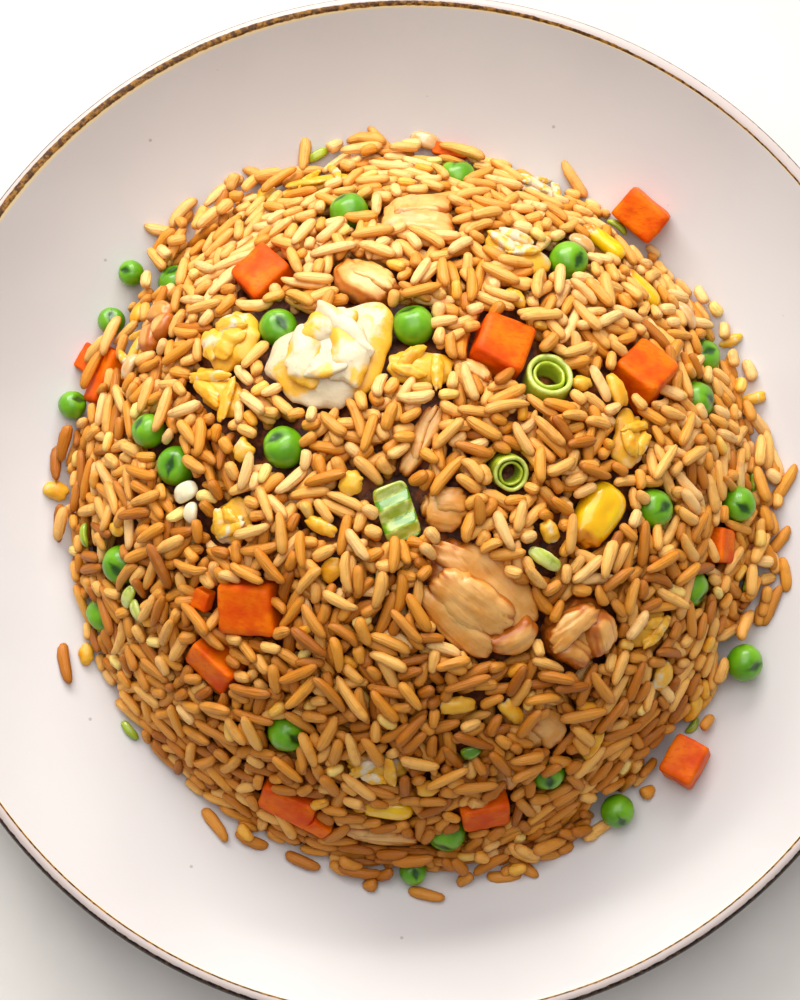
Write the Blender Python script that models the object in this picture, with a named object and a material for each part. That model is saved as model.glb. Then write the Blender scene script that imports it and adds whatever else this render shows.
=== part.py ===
"""A coupe plate that carries a moulded mound of fried rice with peas, diced carrot, egg, corn, chicken and
scallion set into its surface. Metres, +Z up, origin under the middle of the plate's foot ring."""

import math

import bmesh
import bpy
from mathutils import Matrix, Vector, geometry, noise

MM = 0.001
GAP = 0.35 * MM  # kept between solids that touch
TURN_STEPS = 36  # facets round the plate and round the mound, in step with each other

# Plate: a flat well that curves up to a rounded lip, on a low foot ring.
LIP_THICKNESS = 4.0 * MM
WELL_HEIGHT = 7.0 * MM
WELL_RADIUS = 72.0 * MM
INNER_EDGE_RADIUS = 121.9 * MM
WALL_RISE = 18.6 * MM
FOOT_INNER_RADIUS = 62.0 * MM
FOOT_OUTER_RADIUS = 68.0 * MM
FOOT_HEIGHT = 2.2 * MM
WALL_POINTS = 5
LIP_POINTS = 3

# Mound: a cap of a sphere, a little longer front to back, with an uneven surface.
MOUND_RADIUS = 87.5 * MM
MOUND_HEIGHT = 58.0 * MM
MOUND_WIDTH_SHARE = 86.0 / 87.5
MOUND_LENGTH_SHARE = 89.0 / 87.5
MOUND_SET_BACK = 1.0 * MM
MOUND_RINGS = 9
BASE_RINGS = 2
CLUMP_SIZE = 15.0 * MM
CLUMP_HEIGHT = 1.3 * MM

# The wells in the mound that hold the pieces.
WELL_MARGIN = 0.5 * MM  # outward at each corner of the outline
WELL_REACH = 14.0 * MM  # above the middle of the piece, clear of the dome

CAP_RADIUS = (MOUND_RADIUS**2 + MOUND_HEIGHT**2) / (2 * MOUND_HEIGHT)
CAP_CENTRE_HEIGHT = WELL_HEIGHT + MOUND_HEIGHT - CAP_RADIUS
CAP_EDGE_LEAN = math.asin(MOUND_RADIUS / CAP_RADIUS)

# Where each piece sits on the mound. Bearing is the compass direction from the middle, in degrees from +X
# towards +Y. Lean is how far down the dome it sits, in degrees from the top. Sunk is how far the piece's
# middle lies below the rice, in mm.
PEA_SPOTS = (
    # bearing, lean, diameter in mm, sunk in mm
    (103, 48, 9.6, 1.0),
    (56, 46, 9.6, 1.0),
    (90, 24, 9.8, 1.2),
    (130, 33, 9.4, 2.6),
    (82, 59, 9.4, 2.4),
    (162, 20, 10.0, 1.2),
    (173, 38, 9.8, 2.0),
    (192, 52, 9.8, 2.4),
    (241, 42, 9.4, 1.6),
    (138, 60, 9.0, 3.0),
    (357, 38, 9.6, 1.6),
    (19, 53, 9.2, 2.8),
    (26, 61, 9.0, 2.8),
    (343, 50, 9.2, 2.8),
    (276, 58, 9.4, 2.0),
    (199, 61.5, 9.0, 2.6),
    (297, 51, 8.8, 2.6),
)
# Peas that lie on the plate against the foot of the mound: bearing, distance from the middle and diameter.
LOOSE_PEA_SPOTS = (
    (335, 90.5, 9.2),
    (304, 90.0, 8.4),
)
DICE_SPOTS = (
    # bearing, lean, heading, size in mm (long, wide, thick), sunk, tip to one side in degrees
    (125, 43, 42, (11.0, 10.0, 9.0), 2.6, 12),
    (58, 25, 66, (11.4, 11.0, 9.0), 2.8, 0),
    (27, 42, 38, (12.0, 11.0, 10.0), 2.6, -24),
    (214, 30, 4, (13.0, 12.0, 10.0), 3.2, 0),
    (219, 41, 325, (12.0, 7.5, 7.0), 2.2, 15),
    (247, 55, 334, (14.0, 8.0, 8.0), 2.6, 0),
    (283, 53, 8, (11.0, 9.0, 8.0), 3.0, 10),
    (352, 54, 82, (8.0, 6.5, 8.0), 3.0, 0),
    (158, 62, 70, (13.0, 6.0, 7.0), 3.0, 0),
)
# Carrot dice that lie on the plate: bearing, distance from the middle, heading and size in mm.
LOOSE_DICE_SPOTS = (
    (317, 91.5, 62, (10.0, 8.4, 8.0)),
    (52, 93.0, 322, (11.0, 8.0, 8.0)),
)
EGG_SPOTS = (
    # bearing, lean, heading, size in mm (long, wide, thick), sunk, depth of its folds, finer mesh
    (122, 23, 40, (25.0, 22.0, 10.0), 2.0, 0.20, True),
    (141, 37, 80, (13.5, 12.5, 8.0), 1.6, 0.18, False),
    (153, 34, 325, (16.5, 8.6, 6.6), 1.6, 0.18, False),
    (87, 17.5, 350, (13.4, 8.4, 7.0), 2.0, 0.14, False),
    (14, 35, 68, (13.0, 8.4, 6.4), 1.8, 0.14, False),
    (67, 42, 330, (15.5, 10.0, 7.0), 2.0, 0.20, False),
    (107, 60, 16, (17.0, 6.0, 6.0), 2.2, 0.10, False),
    (67, 62, 338, (15.0, 6.6, 6.0), 2.2, 0.12, False),
    (189, 28, 60, (11.0, 9.4, 6.4), 2.4, 0.14, False),
    (152, 55, 56, (15.5, 6.4, 6.0), 2.2, 0.10, False),
    (262, 43, 6, (16.0, 7.6, 6.6), 2.0, 0.18, False),
    (332, 43, 350, (9.6, 9.0, 7.4), 2.0, 0.12, False),
)
CORN_SPOTS = (
    # bearing, lean, heading, size in mm (long, wide, thick), sunk
    (353, 28, 52, (17.0, 13.5, 9.0), 2.0),
    (42, 54, 318, (12.4, 6.6, 6.4), 2.0),
    (264, 51, 352, (16.0, 7.4, 6.6), 2.2),
)
CHICKEN_SPOTS = (
    # bearing, lean, heading, size in mm (long, wide, thick), sunk, depth of its folds, finer mesh
    (301, 18, 318, (31.0, 19.0, 14.0), 3.6, 0.13, True),
    (321, 33, 20, (17.0, 16.5, 13.0), 2.4, 0.12, False),
    (90, 45, 352, (20.0, 15.5, 12.0), 3.4, 0.10, False),
    (104, 33, 318, (15.5, 10.0, 8.0), 2.2, 0.10, False),
    (330, 5, 345, (10.6, 9.6, 8.0), 2.6, 0.10, False),
    (299, 41, 300, (15.0, 13.0, 10.0), 4.4, 0.10, False),
    (264, 58, 348, (19.0, 7.0, 7.0), 2.4, 0.10, False),
    (63, 19, 322, (11.0, 6.6, 6.6), 3.2, 0.10, False),
    (289, 46.5, 283, (12.0, 5.6, 6.0), 2.6, 0.06, False),
    (80, 7, 60, (18.0, 5.0, 5.4), 2.6, 0.06, False),
)
SCALLION_RING_SPOTS = (
    # bearing, lean, outer diameter, hole diameter and height in mm, sunk, tip in degrees
    (39, 26, 11.4, 6.2, 7.0, 2.2, -14),
    (11, 14, 8.6, 4.4, 6.0, 2.0, 18),
)
SCALLION_STICK_SPOT = (232, 4, 288, (13.4, 8.4, 4.6), 1.4)


def clear_scene():
    for old in list(bpy.data.objects):
        bpy.data.objects.remove(old)


def material(name, rgb, roughness):
    made = bpy.data.materials.new(name)
    made.use_nodes = True
    shader = made.node_tree.nodes["Principled BSDF"]
    shader.inputs["Base Color"].default_value = (*rgb, 1.0)
    shader.inputs["Roughness"].default_value = roughness
    shader.inputs["Metallic"].default_value = 0.0
    made.diffuse_color = (*rgb, 1.0)
    return made


def finish(name, bm, look, smooth=True):
    """Puts a bmesh into the scene as the named object, with its normals out."""
    bmesh.ops.recalc_face_normals(bm, faces=bm.faces)
    mesh = bpy.data.meshes.new(name)
    bm.to_mesh(mesh)
    bm.free()
    if smooth:
        mesh.shade_smooth()
        mesh.set_sharp_from_angle(angle=math.radians(35))
    mesh.materials.append(look)
    made = bpy.data.objects.new(name, mesh)
    bpy.context.scene.collection.objects.link(made)
    return made


def turned(profile):
    """A solid turned round Z from a profile of (radius, height) points whose two ends are on the axis."""
    bm = bmesh.new()
    points = [bm.verts.new((radius, 0.0, height)) for radius, height in profile]
    edges = [bm.edges.new(pair) for pair in zip(points, points[1:])]
    bmesh.ops.spin(bm, geom=points + edges, axis=(0, 0, 1), cent=(0, 0, 0), steps=TURN_STEPS, angle=math.tau)
    bmesh.ops.remove_doubles(bm, verts=bm.verts, dist=0.01 * MM)
    return bm


# ---------------------------------------------------------------- plate


def well_surface(radius):
    """Height of the plate's upper face: flat, then a parabola up to the lip."""
    past = max(0.0, radius - WELL_RADIUS) / (INNER_EDGE_RADIUS - WELL_RADIUS)
    return WELL_HEIGHT + WALL_RISE * past**2


def wall_slope(radius):
    span = INNER_EDGE_RADIUS - WELL_RADIUS
    return 2 * WALL_RISE * max(0.0, radius - WELL_RADIUS) / span**2


def plate_profile():
    wall = [WELL_RADIUS + (INNER_EDGE_RADIUS - WELL_RADIUS) * k / WALL_POINTS for k in range(WALL_POINTS + 1)]
    inner = [Vector((radius, well_surface(radius))) for radius in wall]
    inward = [Vector((-wall_slope(radius), 1.0)).normalized() for radius in wall]
    outer = [point - normal * LIP_THICKNESS for point, normal in zip(inner, inward)]
    middle = inner[-1] - inward[-1] * LIP_THICKNESS / 2
    start = math.atan2(-inward[-1].y, -inward[-1].x)
    lip = []
    for k in range(1, LIP_POINTS + 1):
        angle = start + math.pi * k / (LIP_POINTS + 1)
        lip.append(middle + Vector((math.cos(angle), math.sin(angle))) * LIP_THICKNESS / 2)
    under = [
        (0.0, FOOT_HEIGHT),
        (FOOT_INNER_RADIUS - FOOT_HEIGHT, FOOT_HEIGHT),
        (FOOT_INNER_RADIUS, 0.0),
        (FOOT_OUTER_RADIUS, 0.0),
        (FOOT_OUTER_RADIUS + 1.2 * MM, FOOT_HEIGHT),
    ]
    return under + [tuple(p) for p in outer[1:] + lip + inner[::-1]] + [(0.0, WELL_HEIGHT)]


def make_plate(look):
    return finish("plate", turned(plate_profile()), look)


# ---------------------------------------------------------------- mound of rice


def dome_point(bearing, lean):
    """The point of the even dome at a bearing and a lean, both in radians, and its outward normal."""
    direction = Vector((math.sin(lean) * math.cos(bearing), math.sin(lean) * math.sin(bearing), math.cos(lean)))
    point = direction * CAP_RADIUS
    point.x *= MOUND_WIDTH_SHARE
    point.y = point.y * MOUND_LENGTH_SHARE + MOUND_SET_BACK
    point.z += CAP_CENTRE_HEIGHT
    normal = Vector((direction.x / MOUND_WIDTH_SHARE, direction.y / MOUND_LENGTH_SHARE, direction.z))
    return point, normal.normalized()


def mound_profile():
    cap = []
    for k in range(MOUND_RINGS + 1):
        lean = CAP_EDGE_LEAN * k / MOUND_RINGS
        cap.append((CAP_RADIUS * math.sin(lean), CAP_CENTRE_HEIGHT + CAP_RADIUS * math.cos(lean)))
    base = [(MOUND_RADIUS * (1 - k / BASE_RINGS), WELL_HEIGHT) for k in range(1, BASE_RINGS + 1)]
    return cap + base


def clump(point):
    return CLUMP_HEIGHT * noise.noise(point / CLUMP_SIZE) * 1.6


def make_mound(look):
    bm = turned(mound_profile())
    for vert in bm.verts:
        across = Vector((vert.co.x, vert.co.y)).length
        on_cap = vert.co.z > WELL_HEIGHT + GAP
        at_edge = not on_cap and across > MOUND_RADIUS - GAP
        vert.co.x *= MOUND_WIDTH_SHARE
        vert.co.y = vert.co.y * MOUND_LENGTH_SHARE + MOUND_SET_BACK
        outward = (vert.co - Vector((0, MOUND_SET_BACK, CAP_CENTRE_HEIGHT))).normalized()
        if on_cap:
            vert.co += outward * clump(vert.co)
        if at_edge:
            vert.co += Vector((outward.x, outward.y, 0)) * clump(vert.co)
        if not on_cap:
            vert.co.z = well_surface(vert.co.xy.length) + GAP
    return finish("rice_mound", bm, look)


# ---------------------------------------------------------------- pieces in the rice


def rough(bm, share, wave, seed):
    """Pushes a rounded lump in and out by a share of its radius, in waves of the given length."""
    shift = Vector((seed * 7.3, seed * 3.1, seed * 5.7))
    for vert in bm.verts:
        vert.co *= 1 + share * 1.8 * noise.noise(vert.co / wave + shift)


def lump(size, share, wave, seed, finer=False):
    """A rounded lump of the given size in mm, with folds."""
    bm = bmesh.new()
    bmesh.ops.create_icosphere(bm, subdivisions=3 if finer else 2, radius=1.0)
    for vert in bm.verts:
        vert.co = Vector(math.copysign(abs(c) ** 0.82, c) for c in vert.co)
    rough(bm, share, wave, seed)
    bmesh.ops.scale(bm, vec=Vector(size) * MM / 2, verts=bm.verts)
    return bm


def pea(diameter):
    bm = bmesh.new()
    bmesh.ops.create_icosphere(bm, subdivisions=2, radius=diameter * MM / 2)
    bmesh.ops.scale(bm, vec=Vector((1.0, 1.0, 0.94)), verts=bm.verts)
    return bm


def dice(size, seed):
    """A hand-cut block: its corners are a little off square, its edges just broken."""
    bm = bmesh.new()
    bmesh.ops.create_cube(bm, size=1.0)
    for vert in bm.verts:
        spot = vert.co * 2.3 + Vector((seed * 1.7, 0, 0))
        vert.co += Vector(noise.noise(spot + Vector((0, 0, shift))) for shift in (4.1, 9.3, 15.7)) * 0.1
    bmesh.ops.scale(bm, vec=Vector(size) * MM, verts=bm.verts)
    bmesh.ops.bevel(bm, geom=bm.edges, offset=0.7 * MM, segments=1, affect="EDGES")
    return bm


def kernel(size):
    """A corn kernel: a plump wedge, wide at the crown and narrow at the tip."""
    bm = lump(size, 0.0, 1.0, 0)
    half = size[0] * MM / 2
    for vert in bm.verts:
        along = vert.co.x / half
        vert.co.y *= 0.86 + 0.2 * along
        vert.co.z *= 0.92 + 0.1 * along
    return bm


def ring(outer, hole, height):
    """A slice of scallion: a tube with slightly rounded ends."""
    middle = (outer + hole) / 4 * MM
    half_wall = (outer - hole) / 4 * MM
    half_height = height / 2 * MM
    section = (
        (-1.0, -0.85),
        (1.0, -1.0),
        (1.0, 0.85),
        (-1.0, 1.0),
    )
    bm = bmesh.new()
    points = [bm.verts.new((middle + half_wall * x, 0.0, half_height * z)) for x, z in section]
    edges = [bm.edges.new((points[k], points[k - 1])) for k in range(len(points))]
    bmesh.ops.spin(bm, geom=points + edges, axis=(0, 0, 1), cent=(0, 0, 0), steps=12, angle=math.tau)
    bmesh.ops.remove_doubles(bm, verts=bm.verts, dist=0.01 * MM)
    return bm


def grooved_stick(size, ridges=3):
    """A length of scallion stalk cut open: its upper face is a row of ridges, its lower face is flat."""
    length, width, thick = (s * MM for s in size)
    steps = ridges * 4
    outline = [(-width / 2, -thick / 2), (width / 2, -thick / 2)]
    for k in range(steps + 1):
        share = k / steps
        lift = 0.72 + 0.28 * abs(math.sin(math.pi * ridges * share))
        outline.append((width / 2 - width * share, thick / 2 * lift))
    bm = bmesh.new()
    face = bm.faces.new([bm.verts.new((-length / 2, y, z)) for y, z in outline])
    far = bmesh.ops.extrude_face_region(bm, geom=[face])
    moved = [item for item in far["geom"] if isinstance(item, bmesh.types.BMVert)]
    bmesh.ops.translate(bm, vec=(length, 0, 0), verts=moved)
    return bm


def pose(point, up, heading, tip):
    """A placing whose Z is up, whose X runs along the heading in plan, tipped about X, in degrees."""
    ahead = Vector((math.cos(math.radians(heading)), math.sin(math.radians(heading)), 0))
    side = up.cross(ahead).normalized()
    ahead = side.cross(up).normalized()
    turned_axes = Matrix((ahead, side, up)).transposed().to_4x4()
    return Matrix.Translation(point) @ turned_axes @ Matrix.Rotation(math.radians(tip), 4, "X")


def place(made, placing):
    """Writes the placing to the object's own location and rotation."""
    made.location = placing.to_translation()
    made.rotation_euler = placing.to_euler()
    return made


def set_in_rice(made, bearing, lean, heading, sunk, tip=0.0):
    point, normal = dome_point(math.radians(bearing), math.radians(lean))
    place(made, pose(point - normal * sunk * MM, normal, heading, tip))
    return made


def set_on_plate(made, bearing, distance, heading, height):
    """Rests a piece of the given height, in mm, on the plate, square to the slope under it."""
    radius = distance * MM
    turn = math.radians(bearing)
    slope = wall_slope(radius)
    up = Vector((-slope * math.cos(turn), -slope * math.sin(turn), 1.0)).normalized()
    touch = Vector((radius * math.cos(turn), radius * math.sin(turn), well_surface(radius)))
    place(made, pose(touch + up * (height / 2 * MM + 1.5 * GAP), up, heading, 0.0))
    return made


def make_peas(look):
    made = []
    for bearing, lean, diameter, sunk in PEA_SPOTS:
        one = finish(f"pea_{len(made) + 1:02d}", pea(diameter), look)
        made.append(set_in_rice(one, bearing, lean, bearing, sunk))
    for bearing, distance, diameter in LOOSE_PEA_SPOTS:
        one = finish(f"pea_{len(made) + 1:02d}", pea(diameter), look)
        made.append(set_on_plate(one, bearing, distance, bearing, diameter))
    return made


def make_carrots(look):
    made = []
    for bearing, lean, heading, size, sunk, tip in DICE_SPOTS:
        one = finish(f"carrot_{len(made) + 1:02d}", dice(size, len(made)), look, smooth=False)
        made.append(set_in_rice(one, bearing, lean, heading, sunk, tip))
    for bearing, distance, heading, size in LOOSE_DICE_SPOTS:
        one = finish(f"carrot_{len(made) + 1:02d}", dice(size, len(made)), look, smooth=False)
        made.append(set_on_plate(one, bearing, distance, heading, size[2] * 1.1))
    return made


def make_lumps(kind, spots, wave, look):
    made = []
    for bearing, lean, heading, size, sunk, share, finer in spots:
        shape = lump(size, share, wave, len(made) + 1, finer)
        one = finish(f"{kind}_{len(made) + 1:02d}", shape, look)
        made.append(set_in_rice(one, bearing, lean, heading, sunk))
    return made


def make_corn(look):
    made = []
    for bearing, lean, heading, size, sunk in CORN_SPOTS:
        one = finish(f"corn_{len(made) + 1:02d}", kernel(size), look)
        made.append(set_in_rice(one, bearing, lean, heading, sunk))
    return made


def make_scallions(look):
    made = []
    for bearing, lean, outer, hole, height, sunk, tip in SCALLION_RING_SPOTS:
        one = finish(f"scallion_{len(made) + 1:02d}", ring(outer, hole, height), look)
        made.append(set_in_rice(one, bearing, lean, bearing, sunk, tip))
    bearing, lean, heading, size, sunk = SCALLION_STICK_SPOT
    stick = finish(f"scallion_{len(made) + 1:02d}", grooved_stick(size), look, smooth=False)
    made.append(set_in_rice(stick, bearing, lean, heading, sunk))
    return made


# ---------------------------------------------------------------- wells


def well(piece):
    """A straight-sided well for a piece: its outline seen along its own Z, from just under it to above the dome."""
    points = [vert.co for vert in piece.data.vertices]
    outline = [points[k] for k in geometry.convex_hull_2d([point.xy for point in points])]
    middle = sum((point.xy for point in outline), Vector((0, 0))) / len(outline)
    floor = min(point.z for point in points) - GAP
    bm = bmesh.new()
    corners = []
    for point in outline:
        across = point.xy - middle
        corner = middle + across * (1 + WELL_MARGIN / across.length)
        corners.append(bm.verts.new((corner.x, corner.y, floor)))
    face = bm.faces.new(corners)
    far = bmesh.ops.extrude_face_region(bm, geom=[face])
    moved = [item for item in far["geom"] if isinstance(item, bmesh.types.BMVert)]
    bmesh.ops.translate(bm, vec=(0, 0, WELL_REACH - floor), verts=moved)
    return bm


def cut_well(mound, piece):
    """Takes the piece's well out of the mound."""
    cutter = finish(f"well_for_{piece.name}", well(piece), piece.data.materials[0], smooth=False)
    cutter.location = piece.location
    cutter.rotation_euler = piece.rotation_euler
    cutter.hide_render = True
    cutter.display_type = "WIRE"
    cut = mound.modifiers.new(cutter.name, "BOOLEAN")
    cut.operation = "DIFFERENCE"
    cut.solver = "EXACT"
    cut.object = cutter


def main():
    clear_scene()
    make_plate(material("glazed stoneware", (0.86, 0.84, 0.81), 0.2))
    mound = make_mound(material("fried rice", (0.55, 0.33, 0.15), 0.5))
    pieces = make_peas(material("garden pea", (0.10, 0.38, 0.03), 0.25))
    pieces += make_carrots(material("diced carrot", (0.85, 0.20, 0.02), 0.35))
    pieces += make_lumps("egg", EGG_SPOTS, 0.62, material("scrambled egg", (0.87, 0.58, 0.08), 0.4))
    pieces += make_corn(material("sweet corn", (0.90, 0.60, 0.02), 0.25))
    pieces += make_lumps("chicken", CHICKEN_SPOTS, 0.8, material("chicken", (0.60, 0.35, 0.17), 0.4))
    pieces += make_scallions(material("scallion", (0.42, 0.62, 0.06), 0.3))
    for piece in pieces:
        cut_well(mound, piece)


main()
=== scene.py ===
# %% [markdown]
# # A plate of fried rice
# The object is a stoneware coupe plate with a moulded dome of fried rice on it. Peas, carrot dice, egg,
# corn, chicken and scallion are set into the dome. The frame holds every piece as a plain faceted solid.
# This lesson gives each of them its real surface, and fills the dome with real grains of rice: they are
# dropped one by one on a height map, so that each grain rests on the ones below it.

import itertools
import math
import types

import bpy
import numpy as np
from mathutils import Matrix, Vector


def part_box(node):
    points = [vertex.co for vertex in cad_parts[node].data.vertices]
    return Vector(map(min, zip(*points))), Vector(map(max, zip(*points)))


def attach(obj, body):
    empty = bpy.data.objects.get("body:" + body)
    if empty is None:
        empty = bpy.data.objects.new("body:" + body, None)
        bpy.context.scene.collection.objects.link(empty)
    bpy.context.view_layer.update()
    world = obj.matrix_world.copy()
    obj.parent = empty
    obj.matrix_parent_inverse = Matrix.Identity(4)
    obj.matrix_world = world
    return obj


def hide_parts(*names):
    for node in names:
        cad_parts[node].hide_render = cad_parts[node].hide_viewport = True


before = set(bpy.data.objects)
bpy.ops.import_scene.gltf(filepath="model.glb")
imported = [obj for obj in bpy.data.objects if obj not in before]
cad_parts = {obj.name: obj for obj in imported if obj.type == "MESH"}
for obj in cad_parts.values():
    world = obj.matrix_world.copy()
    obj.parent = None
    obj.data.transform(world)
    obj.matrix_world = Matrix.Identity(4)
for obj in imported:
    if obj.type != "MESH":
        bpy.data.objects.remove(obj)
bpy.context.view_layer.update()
MM = 0.001

# %% [markdown]
# ## The dome as a map
# The rice was pressed into a bowl and turned out, so its outline is the cap of a sphere. Work on the dome is
# easier on a flat map: a spot's distance from the middle of the map is its distance from the top of the dome,
# measured along the curve, and its third number is its height above the even dome.

# %% The dome's sizes, read from the frame
mound_low, mound_high = (np.array(corner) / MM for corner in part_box("rice_mound"))
HALF_WIDTH, HALF_LENGTH = (mound_high - mound_low)[:2] / 2
DOME_HEIGHT = mound_high[2] - mound_low[2]
FOOT_RADIUS = (HALF_WIDTH + HALF_LENGTH) / 2
DOME_RADIUS = (FOOT_RADIUS**2 + DOME_HEIGHT**2) / (2 * DOME_HEIGHT)
STRETCH = np.array([HALF_WIDTH / FOOT_RADIUS, HALF_LENGTH / FOOT_RADIUS, 1.0])
DOME_CENTRE = np.array([*(mound_high + mound_low)[:2] / 2, mound_high[2] - DOME_RADIUS])
FOOT_LEAN = math.asin(FOOT_RADIUS / DOME_RADIUS)
print(f"dome: sphere radius {DOME_RADIUS:.1f} mm, edge at {math.degrees(FOOT_LEAN):.1f} degrees from the top")


# %% From space to the map and back
def to_map(points):
    """Map places of points: arc length from the top along the compass direction (two numbers), and height."""
    ray = (points - DOME_CENTRE) / STRETCH
    distance = np.linalg.norm(ray, axis=-1)
    arc = DOME_RADIUS * np.arccos(np.clip(ray[..., 2] / distance, -1, 1))
    compass = ray[..., :2] / (np.linalg.norm(ray[..., :2], axis=-1, keepdims=True) + 1e-9)
    return np.concatenate([arc[..., None] * compass, (distance - DOME_RADIUS)[..., None]], -1)


def from_map(spots):
    """The points in space of map places: the sphere's centre plus (radius + height) times the direction."""
    arc = np.linalg.norm(spots[..., :2], axis=-1, keepdims=True) + 1e-9
    lean = arc / DOME_RADIUS
    direction = np.concatenate([np.sin(lean) * spots[..., :2] / arc, np.cos(lean)], -1)
    return DOME_CENTRE + direction * (DOME_RADIUS + spots[..., 2:]) * STRETCH


def dome_axes(spots):
    """Three unit directions at map places: down the dome, round it, and out of it."""
    arc = np.linalg.norm(spots[..., :2], axis=-1, keepdims=True) + 1e-9
    lean = arc / DOME_RADIUS
    compass = spots[..., :2] / arc
    down = np.concatenate([np.cos(lean) * compass, -np.sin(lean)], -1)
    around = np.stack([-compass[..., 1], compass[..., 0], np.zeros(compass.shape[:-1])], -1)
    out = np.concatenate([np.sin(lean) * compass, np.cos(lean)], -1)
    return down, around, out


def dome_spot(bearing, lean, height=0.0):
    """A map place from a bearing and a lean from the top, both in degrees."""
    arc = DOME_RADIUS * math.radians(lean)
    turn = math.radians(bearing)
    return np.array([arc * math.cos(turn), arc * math.sin(turn), height])


# %% [markdown]
# ## Noise without textures
# Food is uneven at every size. One noise function on whole arrays of points serves all the shapes: it gives
# each corner of a grid of cubes a repeatable random height and blends smoothly between the corners.


# %% Noise
def corner_height(cell, seed):
    """A repeatable number from -1 to 1 for each whole-number cell: the mixed bits of its three indices."""
    x, y, z = (cell[..., k].astype(np.uint32) for k in range(3))
    start = np.uint32(seed * 3266489917 % 2**32)
    mixed = x * np.uint32(374761393) + y * np.uint32(668265263) + z * np.uint32(2246822519) + start
    mixed = (mixed ^ (mixed >> np.uint32(15))) * np.uint32(2654435761)
    mixed = (mixed ^ (mixed >> np.uint32(13))) * np.uint32(1274126177)
    return ((mixed >> np.uint32(8)) & np.uint32(0xFFFF)) / 32767.5 - 1.0


def noise(points, size, seed=0):
    """Value noise with waves of about the given size: corner heights blended by the curve 3t^2 - 2t^3."""
    scaled = np.asarray(points, float) / size + 1000.0
    cell = np.floor(scaled).astype(np.int64)
    share = scaled - cell
    share = share * share * (3 - 2 * share)
    total = np.zeros(scaled.shape[:-1])
    for corner in itertools.product((0, 1), repeat=3):
        weight = np.prod(np.where(corner, share, 1 - share), axis=-1)
        total += weight * corner_height(cell + np.array(corner), seed)
    return total


def folds(points, size, seed=0):
    """Noise folded at zero: rounded swellings that meet in sharp creases, from -1 in a crease to 1."""
    return 2 * np.abs(noise(points, size, seed)) ** 0.7 - 1


# %% [markdown]
# ## Closed skins
# Most pieces here are one kind of surface: loops of points carried along a line and closed by one point at
# each end, or carried round a hoop. The loops may be wavy, flattened or dented, but they stay in order.
# A skin's points are kept as one list, loop after loop, with the two end points last.


# %% Skins and meshes
def skin_faces(loops, sides, hoop=False):
    """Corner numbers of a closed skin: four-cornered faces between loops, and a fan of three at each end."""
    here = np.arange(sides)
    after = (here + 1) % sides
    row = np.arange(loops if hoop else loops - 1)[:, None] * sides
    ahead = (row + sides) % (loops * sides)
    walls = np.stack([row + here, row + after, ahead + after, ahead + here], -1).reshape(-1, 4)
    if hoop:
        return walls, np.empty((0, 3), int)
    last = (loops - 1) * sides
    first_fan = np.stack([np.full(sides, loops * sides), after, here], -1)
    last_fan = np.stack([np.full(sides, loops * sides + 1), last + here, last + after], -1)
    return walls, np.concatenate([first_fan, last_fan])


def enclosed(points, walls, fans):
    """Each skin's volume: a sixth of the sum of a . (b x c) over its triangles, positive if they face out."""
    corners = np.concatenate([walls[:, [0, 1, 2]], walls[:, [0, 2, 3]], fans])
    first, second, third = (points[:, corners[:, k]] for k in range(3))
    return np.einsum("nti,nti->n", first, np.cross(second, third)) / 6


def new_mesh(name, points, faces, material, marks=None):
    """Makes a piece from points in mm and lists of faces; marks are numbers for each point, by name."""
    mesh = bpy.data.meshes.new(name)
    mesh.from_pydata((points * MM).tolist(), [], [face for group in faces for face in group.tolist()])
    mesh.shade_smooth()
    for mark, values in (marks or {}).items():
        kind, field = ("FLOAT", "value") if values.ndim == 1 else ("FLOAT_VECTOR", "vector")
        mesh.attributes.new(mark, kind, "POINT").data.foreach_set(field, values.astype(np.float32).ravel())
    mesh.materials.append(material)
    piece = bpy.data.objects.new(name, mesh)
    bpy.context.scene.collection.objects.link(piece)
    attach(piece, "root")
    return piece


def new_skins(name, skins, loops, sides, material, marks=None, hoop=False):
    """A piece of many skins alike: skins is (count, points, 3), each mark (count, points), or with 3 too."""
    walls, fans = skin_faces(loops, sides, hoop)
    inside_out = (enclosed(skins, walls, fans) < 0)[:, None, None]
    start = (np.arange(len(skins)) * skins.shape[1])[:, None, None]
    faces = [np.where(inside_out, group[:, ::-1], group) + start for group in (walls, fans)]
    faces = [group.reshape(-1, group.shape[-1]) for group in faces]
    flat_marks = {mark: values.reshape(-1, *values.shape[2:]) for mark, values in (marks or {}).items()}
    return new_mesh(name, skins.reshape(-1, 3), faces, material, flat_marks)


# %% A rounded form
def even(curve, count):
    """Points spaced evenly along a curve given by many points."""
    steps = np.linalg.norm(np.diff(curve, axis=0), axis=1)
    along = np.concatenate([[0], np.cumsum(steps)])
    wanted = np.linspace(0, along[-1], count)
    return np.stack([np.interp(wanted, along, curve[:, k]) for k in range(curve.shape[1])], 1)


def power_curve(angle, power):
    """Cosine and sine raised so that |x|^power + |y|^power = 1."""
    curve = np.stack([np.cos(angle), np.sin(angle)], 1)
    return np.sign(curve) * np.abs(curve) ** (2 / power)


def rounded_form(loops, sides, power_along=2.0, power_around=2.0):
    """A unit superellipsoid: |x|^p + s^p = 1 along X, and |y|^q + |z|^q = s^q round it, evenly spaced.

    A power of 2 gives a ball, 3 a plump lump, 8 a block with rounded edges."""
    bow = even(power_curve(np.linspace(math.pi, 0, 400), power_along), loops + 2)[1:-1]
    ring = even(power_curve(np.linspace(0, math.tau, 800), power_around), sides + 1)[:-1]
    along = np.repeat(bow[:, :1], sides, 1)
    around = bow[:, 1][:, None, None] * ring
    shape = np.concatenate([along[..., None], around], -1).reshape(-1, 3)
    return np.concatenate([shape, [[-1.0, 0, 0], [1.0, 0, 0]]])


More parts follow.
